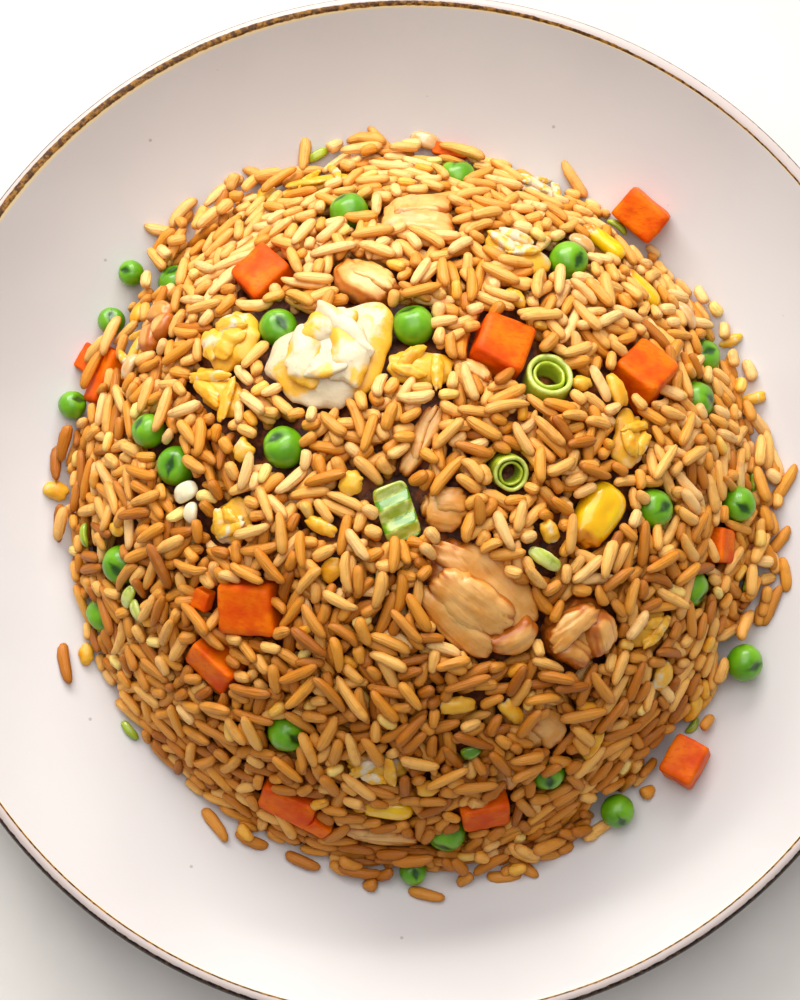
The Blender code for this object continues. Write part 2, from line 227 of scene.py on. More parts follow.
def swollen(points, lift):
    """Points moved straight out from the middle, each by its own lift in mm."""
    return points + lift[:, None] * points / (np.linalg.norm(points, axis=1, keepdims=True) + 1e-9)


# %% [markdown]
# ## How the solids of the frame lie
# A topping's new surface has to lie exactly as its solid does. The solid's own points say how: their middle
# gives the place, and their spread gives the directions. A cut block shows its directions better by its
# faces, so for those the largest face and the next one square to it are used.


# %% Reading a solid's place
def solid_points(node):
    """The points of a solid, in mm, three for each of its triangles."""
    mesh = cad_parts[node].data
    points = np.empty(len(mesh.vertices) * 3, np.float32)
    mesh.vertices.foreach_get("co", points)
    corners = np.empty(len(mesh.loops), np.int32)
    mesh.loops.foreach_get("vertex_index", corners)
    return points.reshape(-1, 3).astype(float)[corners] / MM


def stance_along(points, ahead, up):
    """Middle, axes and full size of points, with X ahead and Z up."""
    axes = np.stack([ahead, np.cross(up, ahead), up])
    local = points @ axes.T
    low, high = local.min(0), local.max(0)
    return (low + high) / 2 @ axes, axes, high - low


def lump_stance(node):
    """Middle, axes and size of a lump: Z out of the dome, X along its longest way, to the right."""
    points = np.unique(np.round(solid_points(node), 3), axis=0)
    up = dome_axes(to_map(points.mean(0)))[2]
    spread = points - points.mean(0)
    spread -= np.outer(spread @ up, up)
    ahead = np.linalg.eigh(spread.T @ spread)[1][:, -1]
    return stance_along(points, ahead * np.sign(ahead[0]), up)


def ring_stance(node):
    """Middle, axes and size of a ring: Z is its axis, the one of its three directions nearest to out."""
    points = np.unique(np.round(solid_points(node), 3), axis=0)
    up = dome_axes(to_map(points.mean(0)))[2]
    spread = points - points.mean(0)
    found = np.linalg.eigh(spread.T @ spread)[1].T
    nearest = np.abs(found @ up).argmax()
    axis = found[nearest] * np.sign(found[nearest] @ up)
    return stance_along(points, found[(nearest + 1) % 3], axis)


def block_stance(node):
    """Middle, axes and size of a cut block, from its largest faces: Z is the face nearest to up."""
    points = solid_points(node)
    edges = points.reshape(-1, 3, 3)
    crossed = np.cross(edges[:, 1] - edges[:, 0], edges[:, 2] - edges[:, 0])
    area = np.linalg.norm(crossed, axis=1)
    facing = crossed / area[:, None]
    alike = facing @ facing.T > 0.97
    weight = alike @ area
    first = facing[weight.argmax()]
    second = facing[np.where(np.abs(facing @ first) < 0.3, weight, 0).argmax()]
    second = second - first * (second @ first)
    second /= np.linalg.norm(second)
    found = np.stack([first, second, np.cross(first, second)])
    facing_out = found @ dome_axes(to_map(points.mean(0)))[2]
    most = np.abs(facing_out).argmax()
    least = np.abs(facing_out).argmin()
    return stance_along(points, found[least], found[most] * np.sign(facing_out[most]))


def numbered(kind):
    """The names of the frame's nodes of one kind, in order."""
    return sorted(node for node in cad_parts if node.startswith(kind + "_"))


for kind in ("pea", "carrot", "egg", "corn", "chicken", "scallion"):
    print(kind, len(numbered(kind)), "solids")

# %% [markdown]
# ## Materials
# Colours are chosen as sRGB hex values and turned to the linear numbers that the renderer works with. Every
# finish is a Principled shader with its own typical roughness, and a few noises whose scale comes from a size
# in millimetres.


# %% Colour and nodes
def linear(code):
    """An sRGB hex value as linear red, green, blue and alpha: the lower part is a line, the rest a power."""
    parts = [int(code[k : k + 2], 16) / 255 for k in (1, 3, 5)]
    return (*(p / 12.92 if p <= 0.04045 else ((p + 0.055) / 1.055) ** 2.4 for p in parts), 1.0)


def add_node(tree, kind, inputs=None, output=0, **settings):
    """Adds one node and returns one of its outputs. An input is a value, or another node's output."""
    node = tree.nodes.new("ShaderNode" + kind)
    for name, value in settings.items():
        setattr(node, name, value)
    for name, value in (inputs or {}).items():
        if isinstance(value, bpy.types.NodeSocket):
            tree.links.new(value, node.inputs[name])
        else:
            node.inputs[name].default_value = value
    return node.outputs[output]


def new_material(name, sockets):
    """A Principled material with the given sockets set, its node tree, and its Object coordinates."""
    material = bpy.data.materials.new(name)
    material.use_nodes = True
    tree = material.node_tree
    for socket, value in sockets.items():
        tree.nodes["Principled BSDF"].inputs[socket].default_value = value
    return material, tree, add_node(tree, "TexCoord", output="Object")


def per_metre(size_mm):
    """The scale of a pattern whose features have the given size: how many go into one metre."""
    return 1 / (size_mm * MM)


def stained(tree, under, over, amount, low, high, most=1.0):
    """The colour under goes over to a second one as amount goes from low to high, up to the share most."""
    ends = {"Value": amount, "From Min": low, "From Max": high, "To Max": most}
    share = add_node(tree, "MapRange", ends, interpolation_type="SMOOTHSTEP")
    under, over = (linear(colour) if isinstance(colour, str) else colour for colour in (under, over))
    return add_node(tree, "Mix", {0: share, 6: under, 7: over}, 2, data_type="RGBA")


def finished(material, colour, height, depth, strength=1.0):
    """Links a material's colour, and a relief whose bumps are depth mm high."""
    tree = material.node_tree
    shader = tree.nodes["Principled BSDF"]
    relief = add_node(tree, "Bump", {"Height": height, "Distance": depth * MM, "Strength": strength})
    tree.links.new(colour, shader.inputs["Base Color"])
    tree.links.new(relief, shader.inputs["Normal"])
    return material


# %% [markdown]
# ## The plate
# A coupe plate is thrown on a wheel, so its surface is one profile turned round the middle. The well is flat
# and rises in a parabola to a thin round lip. The glaze is glossy off-white; at the lip it thins over an iron
# wash and breaks to brown, and a pale band over the lip is a painted highlight, farther out towards the back.

# %% Plate sizes and profile
plate_low, plate_high = (np.array(corner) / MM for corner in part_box("plate"))
PLATE_RADIUS = (plate_high - plate_low)[0] / 2
PLATE_HEIGHT = plate_high[2]
GAP = 0.35
WELL_TOP = mound_low[2] - GAP
WELL_RADIUS = 72.0
LIP = 4.0
EDGE_INSET = 3.2
EDGE_RADIUS = PLATE_RADIUS - EDGE_INSET
WALL_RISE = PLATE_HEIGHT - WELL_TOP - 0.4
LIP_STEPS, WALL_STEPS, WELL_STEPS = 24, 40, 14
# degrees given to points inside the lip, and to each step past it; and the marks of the two end points
INSIDE_ANGLE, STEP_ANGLE = -60.0, 20.0
UNDERSIDE_MARK, WELL_MARK = 20.0, -60.0
FOOT_INNER, FOOT_OUTER, FOOT_HEIGHT = 62.0, 68.0, 2.2


def plate_top(radius):
    """Height of the plate's upper face: flat, then a parabola up to the lip."""
    past = np.clip(radius - WELL_RADIUS, 0, None) / (EDGE_RADIUS - WELL_RADIUS)
    return WELL_TOP + WALL_RISE * past**2


def plate_outline():
    """The turned profile, from the middle of the underside round the lip to the middle of the well."""
    wall = np.linspace(WELL_RADIUS, EDGE_RADIUS, WALL_STEPS)
    slope = np.gradient(plate_top(wall), wall)
    inward = np.stack([-slope, np.ones_like(slope)], 1) / np.hypot(slope, 1)[:, None]
    inner = np.stack([wall, plate_top(wall)], 1)
    outer = inner - inward * LIP
    middle = (inner[-1] + outer[-1]) / 2
    start = math.atan2(-inward[-1, 1], -inward[-1, 0])
    turn = start + np.linspace(0, math.pi, LIP_STEPS + 2)[1:-1]
    lip = middle + np.stack([np.cos(turn), np.sin(turn)], 1) * LIP / 2
    foot = [
        (FOOT_INNER - 3.0, FOOT_HEIGHT),
        (FOOT_INNER - 1.4, FOOT_HEIGHT - 0.3),
        (FOOT_INNER - 0.3, 0.5),
        (FOOT_INNER + 0.5, 0.0),
        (FOOT_OUTER - 0.7, 0.0),
        (FOOT_OUTER, 0.4),
        (FOOT_OUTER + 0.7, 1.6),
        (FOOT_OUTER + 2.0, 2.9),
    ]
    under = [(radius, FOOT_HEIGHT) for radius in np.linspace(6, FOOT_INNER - 8, 10)]
    well = [(radius, WELL_TOP) for radius in np.linspace(WELL_RADIUS - 6, 6, WELL_STEPS)]
    return np.array(under + foot + outer[1:].tolist() + lip.tolist() + inner[::-1].tolist() + well)


# %% Glaze
def lip_bands(count, bearing):
    """For each point of the profile: 0 to 1 in the iron band, 1 to 2 in the painted highlight band, and on
    outwards.

    The angle over the round lip, from its inner edge, is cut at two places that differ round the plate; the
    second cut, which ends the painted highlight, lies farther out over the lip towards the back, where the
    light is."""
    first = count - WELL_STEPS - WALL_STEPS - LIP_STEPS
    angle = np.full((count, 1), INSIDE_ANGLE)
    angle[first + LIP_STEPS] = 0.0
    angle[first : first + LIP_STEPS, 0] = 180 - np.arange(1, LIP_STEPS + 1) * 180 / (LIP_STEPS + 1)
    angle[:first, 0] = 180 + np.arange(first)[::-1] * STEP_ANGLE
    iron_end = 13 + 46 * np.clip(np.cos(bearing - math.radians(130)), 0, 1) ** 2
    highlight_end = 76 + 18 * np.cos(bearing - math.pi / 2)
    in_iron = angle / iron_end
    in_painted_highlight = 1 + (angle - iron_end) / (highlight_end - iron_end)
    past_painted_highlight = 2 + (angle - highlight_end) / 60
    return np.where(angle < iron_end, in_iron, np.where(angle < highlight_end, in_painted_highlight, past_painted_highlight))


def stoneware_glaze():
    """Tin-white glaze, dipped and fired: an even gloss, faint specks of iron, and a lip that breaks brown,
    with a pale band of painted highlight over the lip.
    """
    sockets = {"Roughness": 0.2, "Specular IOR Level": 0.22}
    material, tree, place = new_material("stoneware_glaze_with_iron_lip", sockets)
    pool = add_node(tree, "TexNoise", {"Vector": place, "Scale": per_metre(60)})
    glaze = stained(tree, "#dbd8d8", "#d3cfcf", pool, 0.3, 0.7)
    speck = add_node(tree, "TexVoronoi", {"Vector": place, "Scale": per_metre(11)})
    glaze = stained(tree, glaze, "#8c8480", speck, 0.045, 0.03, 0.5)
    band = add_node(tree, "Attribute", output="Fac", attribute_name="band")
    ragged = add_node(tree, "TexNoise", {"Vector": place, "Scale": per_metre(1.4), "Detail": 3.0})
    uneven_band = add_node(tree, "Math", {0: ragged, 1: 0.3, 2: band}, operation="MULTIPLY_ADD")
    mottle = add_node(tree, "TexNoise", {"Vector": place, "Scale": per_metre(1.1), "Detail": 4.0})
    iron = stained(tree, "#4e2f12", "#9a6a26", mottle, 0.4, 0.65)
    bare = stained(tree, "#241610", "#5a4232", mottle, 0.45, 0.7)
    colour = stained(tree, glaze, "#f0dcae", band, -0.5, -0.1)
    colour = stained(tree, colour, iron, uneven_band, 0.2, 0.36)
    # painted highlight: a pale band over the round lip, shifted towards the light at the back
    colour = stained(tree, colour, "#c9bcb8", uneven_band, 1.1, 1.2)
    colour = stained(tree, colour, bare, uneven_band, 2.1, 2.22)
    colour = stained(tree, colour, glaze, band, 4.6, 5.4)
    wave = add_node(tree, "TexNoise", {"Vector": place, "Scale": per_metre(14)})
    return finished(material, colour, wave, 0.3, 0.25)


# %% Turned plate
PLATE_SIDES = 240
outline = plate_outline()
turn = np.linspace(0, math.tau, PLATE_SIDES, endpoint=False)
wheel = np.stack([np.cos(turn), np.sin(turn), np.ones(PLATE_SIDES)], 1)
thrown = (outline[:, None, [0, 0, 1]] * wheel).reshape(-1, 3)
thrown = np.concatenate([thrown, [[0, 0, FOOT_HEIGHT], [0, 0, WELL_TOP]]])
bands = np.append(lip_bands(len(outline), turn).ravel(), [UNDERSIDE_MARK, WELL_MARK])
marks = {"band": bands[None]}
plate = new_skins("plate_glazed", thrown[None], len(outline), PLATE_SIDES, stoneware_glaze(), marks)
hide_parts("plate")
print("plate:", len(outline), "points in the profile,", len(plate.data.polygons), "faces")

# %% [markdown]
# ## Food finishes
# Cooked food is moist: light goes a little way in and comes out warmer, and a thin coat of oil gives small
# bright spots. So each finish has some scattering under its surface and a coat. Marks on the mesh say where a
# piece is browned, dented or cut, so the pattern follows the shape; some of them also carry painted shade and
# light, darker in dents and folds and paler on a grain's upper side.


# %% Moist food
def moist(roughness, oil, scatter, reach, depth, gloss=0.5):
    """Shader sockets: oil is the coat's weight and roughness, and light goes reach times depth mm in."""
    return {
        "Roughness": roughness,
        "Specular IOR Level": gloss,
        "Coat Weight": oil[0],
        "Coat Roughness": oil[1],
        "Subsurface Weight": scatter,
        "Subsurface Radius": reach,
        "Subsurface Scale": depth * MM,
    }


# %% Rice
def cooked_rice(name, dark, middle, pale):
    """Rice boiled, then fried in oil and soy: a translucent grain, thinly oiled, stained most at its tips."""
    sockets = moist(0.5, oil=(0.08, 0.22), scatter=0.2, reach=(1.0, 0.5, 0.25), depth=0.8, gloss=0.35)
    material, tree, place = new_material(name, sockets)
    tone = add_node(tree, "Attribute", output="Fac", attribute_name="tone")
    skin = add_node(tree, "Attribute", output="Vector", attribute_name="skin")
    # the tone mark is partly painted light: a grain's upper side is paler and its sides darker
    colour = stained(tree, dark, middle, tone, 0.0, 0.55)
    colour = stained(tree, colour, pale, tone, 0.45, 1.0)
    stain = add_node(tree, "TexNoise", {"Vector": place, "Scale": per_metre(3.2), "Detail": 3.0})
    colour = stained(tree, colour, "#bd7a30", stain, 0.52, 0.75, 0.45)
    along = add_node(tree, "SeparateXYZ", {"Vector": skin}, "X")
    tip = add_node(tree, "Math", {0: along}, operation="ABSOLUTE")
    colour = stained(tree, colour, "#b46c22", tip, 0.66, 1.02, 0.4)
    stretch = add_node(tree, "Mapping", {"Vector": skin, "Scale": (0.5, 1.6, 1.6)})
    ridges = add_node(tree, "TexNoise", {"Vector": stretch, "Scale": 1.6, "Detail": 2.0})
    return finished(material, colour, ridges, 0.4, 0.9)


def packed_rice():
    """The rice deep in the mound, seen only through gaps: brown, matt and rough, painted dark as shade in the
    gaps.
    """
    material, tree, place = new_material("packed_rice_in_shade", {"Roughness": 0.6})
    speckle = add_node(tree, "TexNoise", {"Vector": place, "Scale": per_metre(3), "Detail": 3.0})
    # painted shade: the core is dark red-brown so that the gaps between grains read as shadow
    colour = stained(tree, "#3c1503", "#8c480f", speckle, 0.4, 0.7)
    return finished(material, colour, speckle, 1.0)


# %% Vegetables
def pea_skin():
    """A blanched pea keeps its round form, but its skin has shrunk: smooth taut skin, with deeper green
    painted as shade in its dent and crease.
    """
    sockets = moist(0.4, oil=(0.4, 0.12), scatter=0.12, reach=(0.6, 1.0, 0.1), depth=1.0)
    material, tree, place = new_material("blanched_pea_skin", sockets)
    dent = add_node(tree, "Attribute", output="Fac", attribute_name="tone")
    cloud = add_node(tree, "TexNoise", {"Vector": place, "Scale": per_metre(5), "Detail": 2.0})
    colour = stained(tree, "#549603", "#74b40a", cloud, 0.3, 0.7)
    # painted shade: the dent and the crease are darker green
    colour = stained(tree, colour, "#1f4f04", dent, 0.1, 0.9)
    fine = add_node(tree, "TexNoise", {"Vector": place, "Scale": per_metre(1.2), "Detail": 2.0})
    return finished(material, colour, fine, 0.15, 0.4)


def cut_carrot():
    """Diced and fried carrot: a wet cut face, saturated orange, with faint fibres and tiny pits."""
    sockets = moist(0.5, oil=(0.04, 0.2), scatter=0.1, reach=(1.0, 0.3, 0.05), depth=1.2, gloss=0.15)
    material, tree, place = new_material("cut_carrot", sockets)
    cloud = add_node(tree, "TexNoise", {"Vector": place, "Scale": per_metre(6), "Detail": 3.0})
    colour = stained(tree, "#dc4a00", "#f27600", cloud, 0.3, 0.7)
    along_fibres = {"Vector": place, "Scale": (0.4, 1, 1), "Rotation": (0.3, 0.5, 0.9)}
    stretch = add_node(tree, "Mapping", along_fibres)
    fibre = add_node(tree, "TexNoise", {"Vector": stretch, "Scale": per_metre(0.8), "Detail": 2.0})
    colour = stained(tree, colour, "#d8480a", fibre, 0.52, 0.7, 0.5)
    return finished(material, colour, fibre, 0.2, 0.5)


def corn_skin():
    """Sweet corn: tight glossy golden skin, browner and torn where the kernel left the cob."""
    sockets = moist(0.25, oil=(0.6, 0.1), scatter=0.3, reach=(1.0, 0.7, 0.1), depth=1.5)
    material, tree, place = new_material("sweet_corn_skin", sockets)
    torn = add_node(tree, "Attribute", output="Fac", attribute_name="tone")
    cloud = add_node(tree, "TexNoise", {"Vector": place, "Scale": per_metre(5), "Detail": 2.0})
    colour = stained(tree, "#fbbc02", "#ffd00c", cloud, 0.3, 0.7)
    colour = stained(tree, colour, "#d88c10", torn, 0.3, 0.9)
    return finished(material, colour, cloud, 0.2, 0.3)


def scallion_skin():
    """Cut scallion: glossy, striped along its length, pale green at the cut and deep green outside."""
    sockets = moist(0.3, oil=(0.5, 0.12), scatter=0.2, reach=(0.7, 1.0, 0.2), depth=1.2)
    material, tree, place = new_material("cut_scallion", sockets)
    tone = add_node(tree, "Attribute", output="Fac", attribute_name="tone")
    colour = stained(tree, "#4f8a12", "#aebf2c", tone, 0.0, 0.5)
    colour = stained(tree, colour, "#dfe690", tone, 0.6, 1.1)
    vein = add_node(tree, "TexNoise", {"Vector": place, "Scale": per_metre(1.5), "Detail": 3.0})
    colour = stained(tree, colour, "#7c9416", vein, 0.5, 0.75, 0.5)
    return finished(material, colour, vein, 0.2, 0.4)


# %% Egg, chicken and onion
def scrambled_egg():
    """Egg set in a hot pan: white and yolk are only half mixed, and thin edges are browned."""
    sockets = moist(0.42, oil=(0.2, 0.2), scatter=0.3, reach=(1.0, 0.8, 0.4), depth=1.3)
    material, tree, place = new_material("scrambled_egg", sockets)
    yolk = add_node(tree, "Attribute", output="Fac", attribute_name="tone")
    stirred = {"Vector": place, "Scale": per_metre(4), "Detail": 4.0, "Distortion": 0.6}
    swirl = add_node(tree, "TexNoise", stirred)
    mixed = add_node(tree, "Math", {0: swirl, 1: 0.9, 2: yolk}, operation="MULTIPLY_ADD")
    colour = stained(tree, "#ddcdab", "#ecb42e", mixed, 0.5, 0.8)
    colour = stained(tree, colour, "#e89f08", mixed, 0.95, 1.6)
    fine = add_node(tree, "TexNoise", {"Vector": place, "Scale": per_metre(1.3), "Detail": 4.0})
    colour = stained(tree, colour, "#c07a22", fine, 0.6, 0.78, 0.5)
    return finished(material, colour, fine, 0.3, 0.5)


def fried_chicken_meat():
    """Sliced chicken, stir-fried in soy: pale firm meat with fine fibres, browned at edges; darker in folds
    and underneath as painted shade.
    """
    sockets = moist(0.42, oil=(0.35, 0.18), scatter=0.3, reach=(1.0, 0.5, 0.3), depth=1.5)
    material, tree, place = new_material("stir_fried_chicken", sockets)
    browned = add_node(tree, "Attribute", output="Fac", attribute_name="tone")
    skin = add_node(tree, "Attribute", output="Vector", attribute_name="skin")
    cloud = add_node(tree, "TexNoise", {"Vector": place, "Scale": per_metre(7), "Detail": 4.0})
    colour = stained(tree, "#dc963c", "#f0b86a", cloud, 0.35, 0.65)
    # the browned mark is partly painted shade: darker in folds and underneath
    colour = stained(tree, colour, "#b9620f", browned, 0.3, 0.85)
    fibre = add_node(tree, "TexNoise", {"Vector": skin, "Scale": 1.1, "Detail": 3.0})
    colour = stained(tree, colour, "#a5642a", fibre, 0.56, 0.74, 0.35)
    return finished(material, colour, fibre, 0.3, 0.4)


def soft_onion():
    """Fried onion: thin, glassy and cream, with a warm edge."""
    sockets = moist(0.25, oil=(0.5, 0.1), scatter=0.6, reach=(1.0, 0.8, 0.5), depth=2.0)
    material, tree, place = new_material("soft_onion", sockets)
    tone = add_node(tree, "Attribute", output="Fac", attribute_name="tone")
    layer = add_node(tree, "TexNoise", {"Vector": place, "Scale": per_metre(3), "Detail": 2.0})
    colour = stained(tree, "#f0e3c0", "#d9a35c", tone, 0.0, 1.0)
    colour = stained(tree, colour, "#fbf3dc", layer, 0.5, 0.7, 0.4)
    return finished(material, colour, layer, 0.3, 0.5)

# %% [markdown]
# ## Peas
# A blanched pea keeps its round form, but its skin has shrunk: there is a shallow dent where the stalk was,
# with a soft rim, and a crease that runs into it. The dent is the pea's own, so it is formed in the
# surface, and the same function marks how deep it is, for the darker green painted there as shade.

# %% Setting a form down
standing = []


def stance_at(point, up, heading):
    """A middle and axes: Z along up, X along the compass heading in degrees as far as Z allows."""
    turn = math.radians(heading)
    side = np.cross(up, (math.cos(turn), math.sin(turn), 0))
    side /= np.linalg.norm(side)
    return point, np.stack([np.cross(side, up), side, up])


def stance_on_dome(bearing, lean, heading, height):
    """Where a piece lies whose middle is at the given height over the even dome."""
    spot = dome_spot(bearing, lean, height)
    return stance_at(from_map(spot), dome_axes(spot)[2], heading)


def stance_on_plate(bearing, distance, heading, height):
    """Where a piece lies whose middle is at the given height over the plate."""
    turn = math.radians(bearing)
    point = np.array([distance * math.cos(turn), distance * math.sin(turn), plate_top(distance) + height])
    return stance_at(point, np.array([0.0, 0.0, 1.0]), heading)


def new_topping(name, forms, loops, sides, material, slot, node=None, hoop=False):
    """One piece from forms, each a stance, local points in mm, and marks; it may stand for a node."""
    skins = np.stack([middle + points @ axes for (middle, axes), points, marks in forms])
    marks = {mark: np.stack([form[2][mark] for form in forms]) for mark in forms[0][2]}
    piece = new_skins(name, skins, loops, sides, material, marks, hoop)
    if node:
        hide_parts(node)
    standing.append(skins.reshape(-1, 3))


def stand_ins(kind, suffix, stance_of, form_of, seed, loops, sides, material):
    """One piece for each solid of a kind, in the solid's place and size."""
    for count, node in enumerate(numbered(kind)):
        middle, axes, size = stance_of(node)
        form = ((middle, axes), *form_of(size, seed + count))
        new_topping(f"{node}_{suffix}", [form], loops, sides, material, kind, node)


# %% Peas
PEA_LOOPS, PEA_SIDES = 24, 32
# bearing, lean or distance from the middle, and size
MORE_PEAS_ON_DOME = ((166, 44, 8.2), (0, 57, 8.6))
MORE_PEAS_ON_PLATE = ((140, 90.5, 6.4), (163, 87.5, 7.0), (270, 88.5, 6.6), (148, 87.5, 6.8))


def pea_form(size, seed):
    """A ball less 0.16 exp(-(angle / 0.36)^2) in radius: a dent, with a raised rim and a crease by it."""
    rng = np.random.default_rng(seed)
    ball = rounded_form(PEA_LOOPS, PEA_SIDES)
    stalk = np.array([*rng.normal(0, 0.4, 2), 1.0])
    stalk /= np.linalg.norm(stalk)
    angle = np.arccos(np.clip(ball @ stalk, -1, 1))
    dent = np.exp(-((angle / 0.36) ** 2))
    rim = np.exp(-(((angle - 0.75) / 0.3) ** 2))
    across = np.cross(stalk, rng.normal(0, 1, 3))
    across /= np.linalg.norm(across)
    crease = np.exp(-((ball @ across / 0.1) ** 2)) * np.exp(-((angle / 1.0) ** 2))
    uneven = 0.025 * noise(ball, 0.8, seed) + 0.012 * noise(ball, 0.35, seed + 1)
    radius = 1 - 0.16 * dent + 0.02 * rim - 0.05 * crease + uneven
    # the tone mark is painted shade: darker green in the dent and the crease
    return ball * radius[:, None] * np.asarray(size) / 2, {"tone": np.clip(dent + 0.7 * crease, 0, 1)}


pea_material = pea_skin()
stand_ins("pea", "skin", lump_stance, pea_form, 100, PEA_LOOPS, PEA_SIDES, pea_material)
forms = []
for count, (bearing, lean, size) in enumerate(MORE_PEAS_ON_DOME):
    forms.append((stance_on_dome(bearing, lean, 0, size / 2 - 4), *pea_form((size,) * 3, 150 + count)))
for count, (bearing, distance, size) in enumerate(MORE_PEAS_ON_PLATE):
    forms.append((stance_on_plate(bearing, distance, 0, size * 0.48), *pea_form((size,) * 3, 160 + count)))
new_topping("peas_more", forms, PEA_LOOPS, PEA_SIDES, pea_material, "pea")
print("peas:", len(numbered("pea")) + len(forms), "with faces each:", (PEA_LOOPS + 1) * PEA_SIDES)

# %% [markdown]
# ## Carrot
# The dice are cut with a knife and then tossed in the pan, so they keep flat faces but lose their sharp
# edges, and no two are alike. A superellipsoid of a high power is such a block; noise bends its faces.

# %% Carrot dice
DICE_LOOPS, DICE_SIDES = 24, 44
# bearing, lean or distance from the middle, heading, and size
MORE_CARROT_ON_DOME = ((253, 57, 300, (5.5, 4.5, 4)), (205, 36, 60, (5, 4, 3.5)))
MORE_CARROT_ON_PLATE = ((84, 89.5, 350, (9, 3, 2.6)), (155, 88.5, 60, (7, 4, 3)))


def dice_form(size, seed):
    """A block |x|^13 + |y|^13 + |z|^13 = 1, tapered by up to a tenth, its faces uneven by tenths of a mm."""
    rng = np.random.default_rng(seed)
    block = rounded_form(DICE_LOOPS, DICE_SIDES, 13, 13)
    taper = 1 + rng.uniform(-0.08, 0.08, 3) * block[:, [1, 2, 0]]
    block = block * taper * np.asarray(size) / 2 * 1.01
    return swollen(block, 0.22 * noise(block, 3.5, seed) + 0.12 * noise(block, 1.3, seed + 1)), {}


carrot_material = cut_carrot()
stand_ins("carrot", "cut", block_stance, dice_form, 200, DICE_LOOPS, DICE_SIDES, carrot_material)
forms = []
for count, (bearing, lean, heading, size) in enumerate(MORE_CARROT_ON_DOME):
    forms.append((stance_on_dome(bearing, lean, heading, size[2] / 2 - 2.5), *dice_form(size, 250 + count)))
for count, (bearing, distance, heading, size) in enumerate(MORE_CARROT_ON_PLATE):
    stance = stance_on_plate(bearing, distance, heading, size[2] / 2)
    forms.append((stance, *dice_form(size, 260 + count)))
new_topping("carrot_scraps", forms, DICE_LOOPS, DICE_SIDES, carrot_material, "carrot")
print("carrot dice:", len(numbered("carrot")), "and scraps:", len(forms))

# %% [markdown]
# ## Egg
# Egg stirred in a hot pan sets in thin torn sheets that fold over each other. So a curd is several flat
# lumps that overlap, each turned and tipped its own way, with a ragged outline and sharp crests where it is
# folded. The mark tells how much yolk each spot holds, so one material makes white, yellow and mixed curds.


# %% Egg curds
CURD_LOOPS, CURD_SIDES = 34, 48
BIT_LOOPS, BIT_SIDES = 14, 20
USUAL_SHEETS, USUAL_YOLK = 4, 0.55
SHEETS = {"egg_01": 6}
YOLK = {"egg_01": -0.02, "egg_08": 0.1, "egg_06": 0.25}
BITS_ON_DOME = (
    *((307, 49), (185, 50), (173, 9), (33, 30), (27, 35), (295, 35), (282, 31), (325, 63), (273, 45)),
    *((166, 26), (222, 16), (146, 61), (326, 50), (116, 63), (200, 14), (62, 33), (345, 20)),
)
BITS_ON_PLATE = ((177, 88), (204, 87.5), (18, 88), (28, 88.5))


def leaning(axes, turn, tip):
    """The same axes turned about their own Z, then tipped about their own X, both in degrees."""
    turn, tip = math.radians(turn), math.radians(tip)
    ahead = math.cos(turn) * axes[0] + math.sin(turn) * axes[1]
    side = np.cross(axes[2], ahead)
    tipped_side = math.cos(tip) * side + math.sin(tip) * axes[2]
    return np.stack([ahead, tipped_side, math.cos(tip) * axes[2] - math.sin(tip) * side])


def ragged(unit, wide, fine, seed):
    """Each point's reach, and an outline of 1 + noise of its direction; wide and fine are (height, size)."""
    reach = np.linalg.norm(unit[:, :2], axis=1)
    direction = unit * (1, 1, 0) / (reach[:, None] + 1e-9)
    outline = 1 + wide[0] * noise(direction, wide[1], seed) + fine[0] * noise(direction, fine[1], seed + 1)
    return reach, outline


def egg_form(size, seed, yolk, loops, sides):
    """A torn sheet: a ragged outline, thinner towards it, and a surface with crests of 1 - 2 |noise|."""
    size = np.asarray(size)
    unit = rounded_form(loops, sides, 2.5, 2.3)
    reach, outline = ragged(unit, (0.22, 0.8), (0.1, 0.3), seed)
    lump = unit * size / 2 * np.stack([outline, outline, 1 - 0.35 * np.clip(reach, 0, 1) ** 2], 1)
    width = size[1]
    crest = 1 - 2 * np.abs(noise(lump, width * 0.5, seed + 2))
    fine = 1 - 2 * np.abs(noise(lump, width * 0.2, seed + 3))
    lift = width * (0.07 * crest + 0.028 * fine) * np.clip(0.4 + unit[:, 2], 0, 1)
    tone = yolk + 0.62 * noise(lump, width * 0.42, seed + 4) - 0.1 * crest
    return swollen(lump, lift), {"tone": tone}


def egg_sheets(middle, axes, size, seed, yolk, sheets):
    """Overlapping sheets: the first fills the place, the others lie on it, smaller and tipped."""
    rng = np.random.default_rng(seed)
    forms = [((middle, axes), *egg_form(size * (1, 1, 0.66), seed, yolk, CURD_LOOPS, CURD_SIDES))]
    for part in range(1, sheets):
        turn = 360 * (part + rng.uniform(-0.2, 0.2)) / (sheets - 1)
        way = np.array([math.cos(math.radians(turn)), math.sin(math.radians(turn)), 0])
        place = middle + ((rng.uniform(0.14, 0.3) * way + (0, 0, 0.36)) * size) @ axes
        share = rng.uniform((0.5, 0.3, 0.3), (0.7, 0.46, 0.4))
        part_yolk = yolk + rng.uniform(-0.2, 0.25)
        made = egg_form(share * size, seed + 20 * part, part_yolk, CURD_LOOPS, CURD_SIDES)
        part_axes = leaning(axes, turn + 90 + rng.uniform(-35, 35), rng.uniform(-30, 10))
        forms.append(((place, part_axes), *made))
    return forms


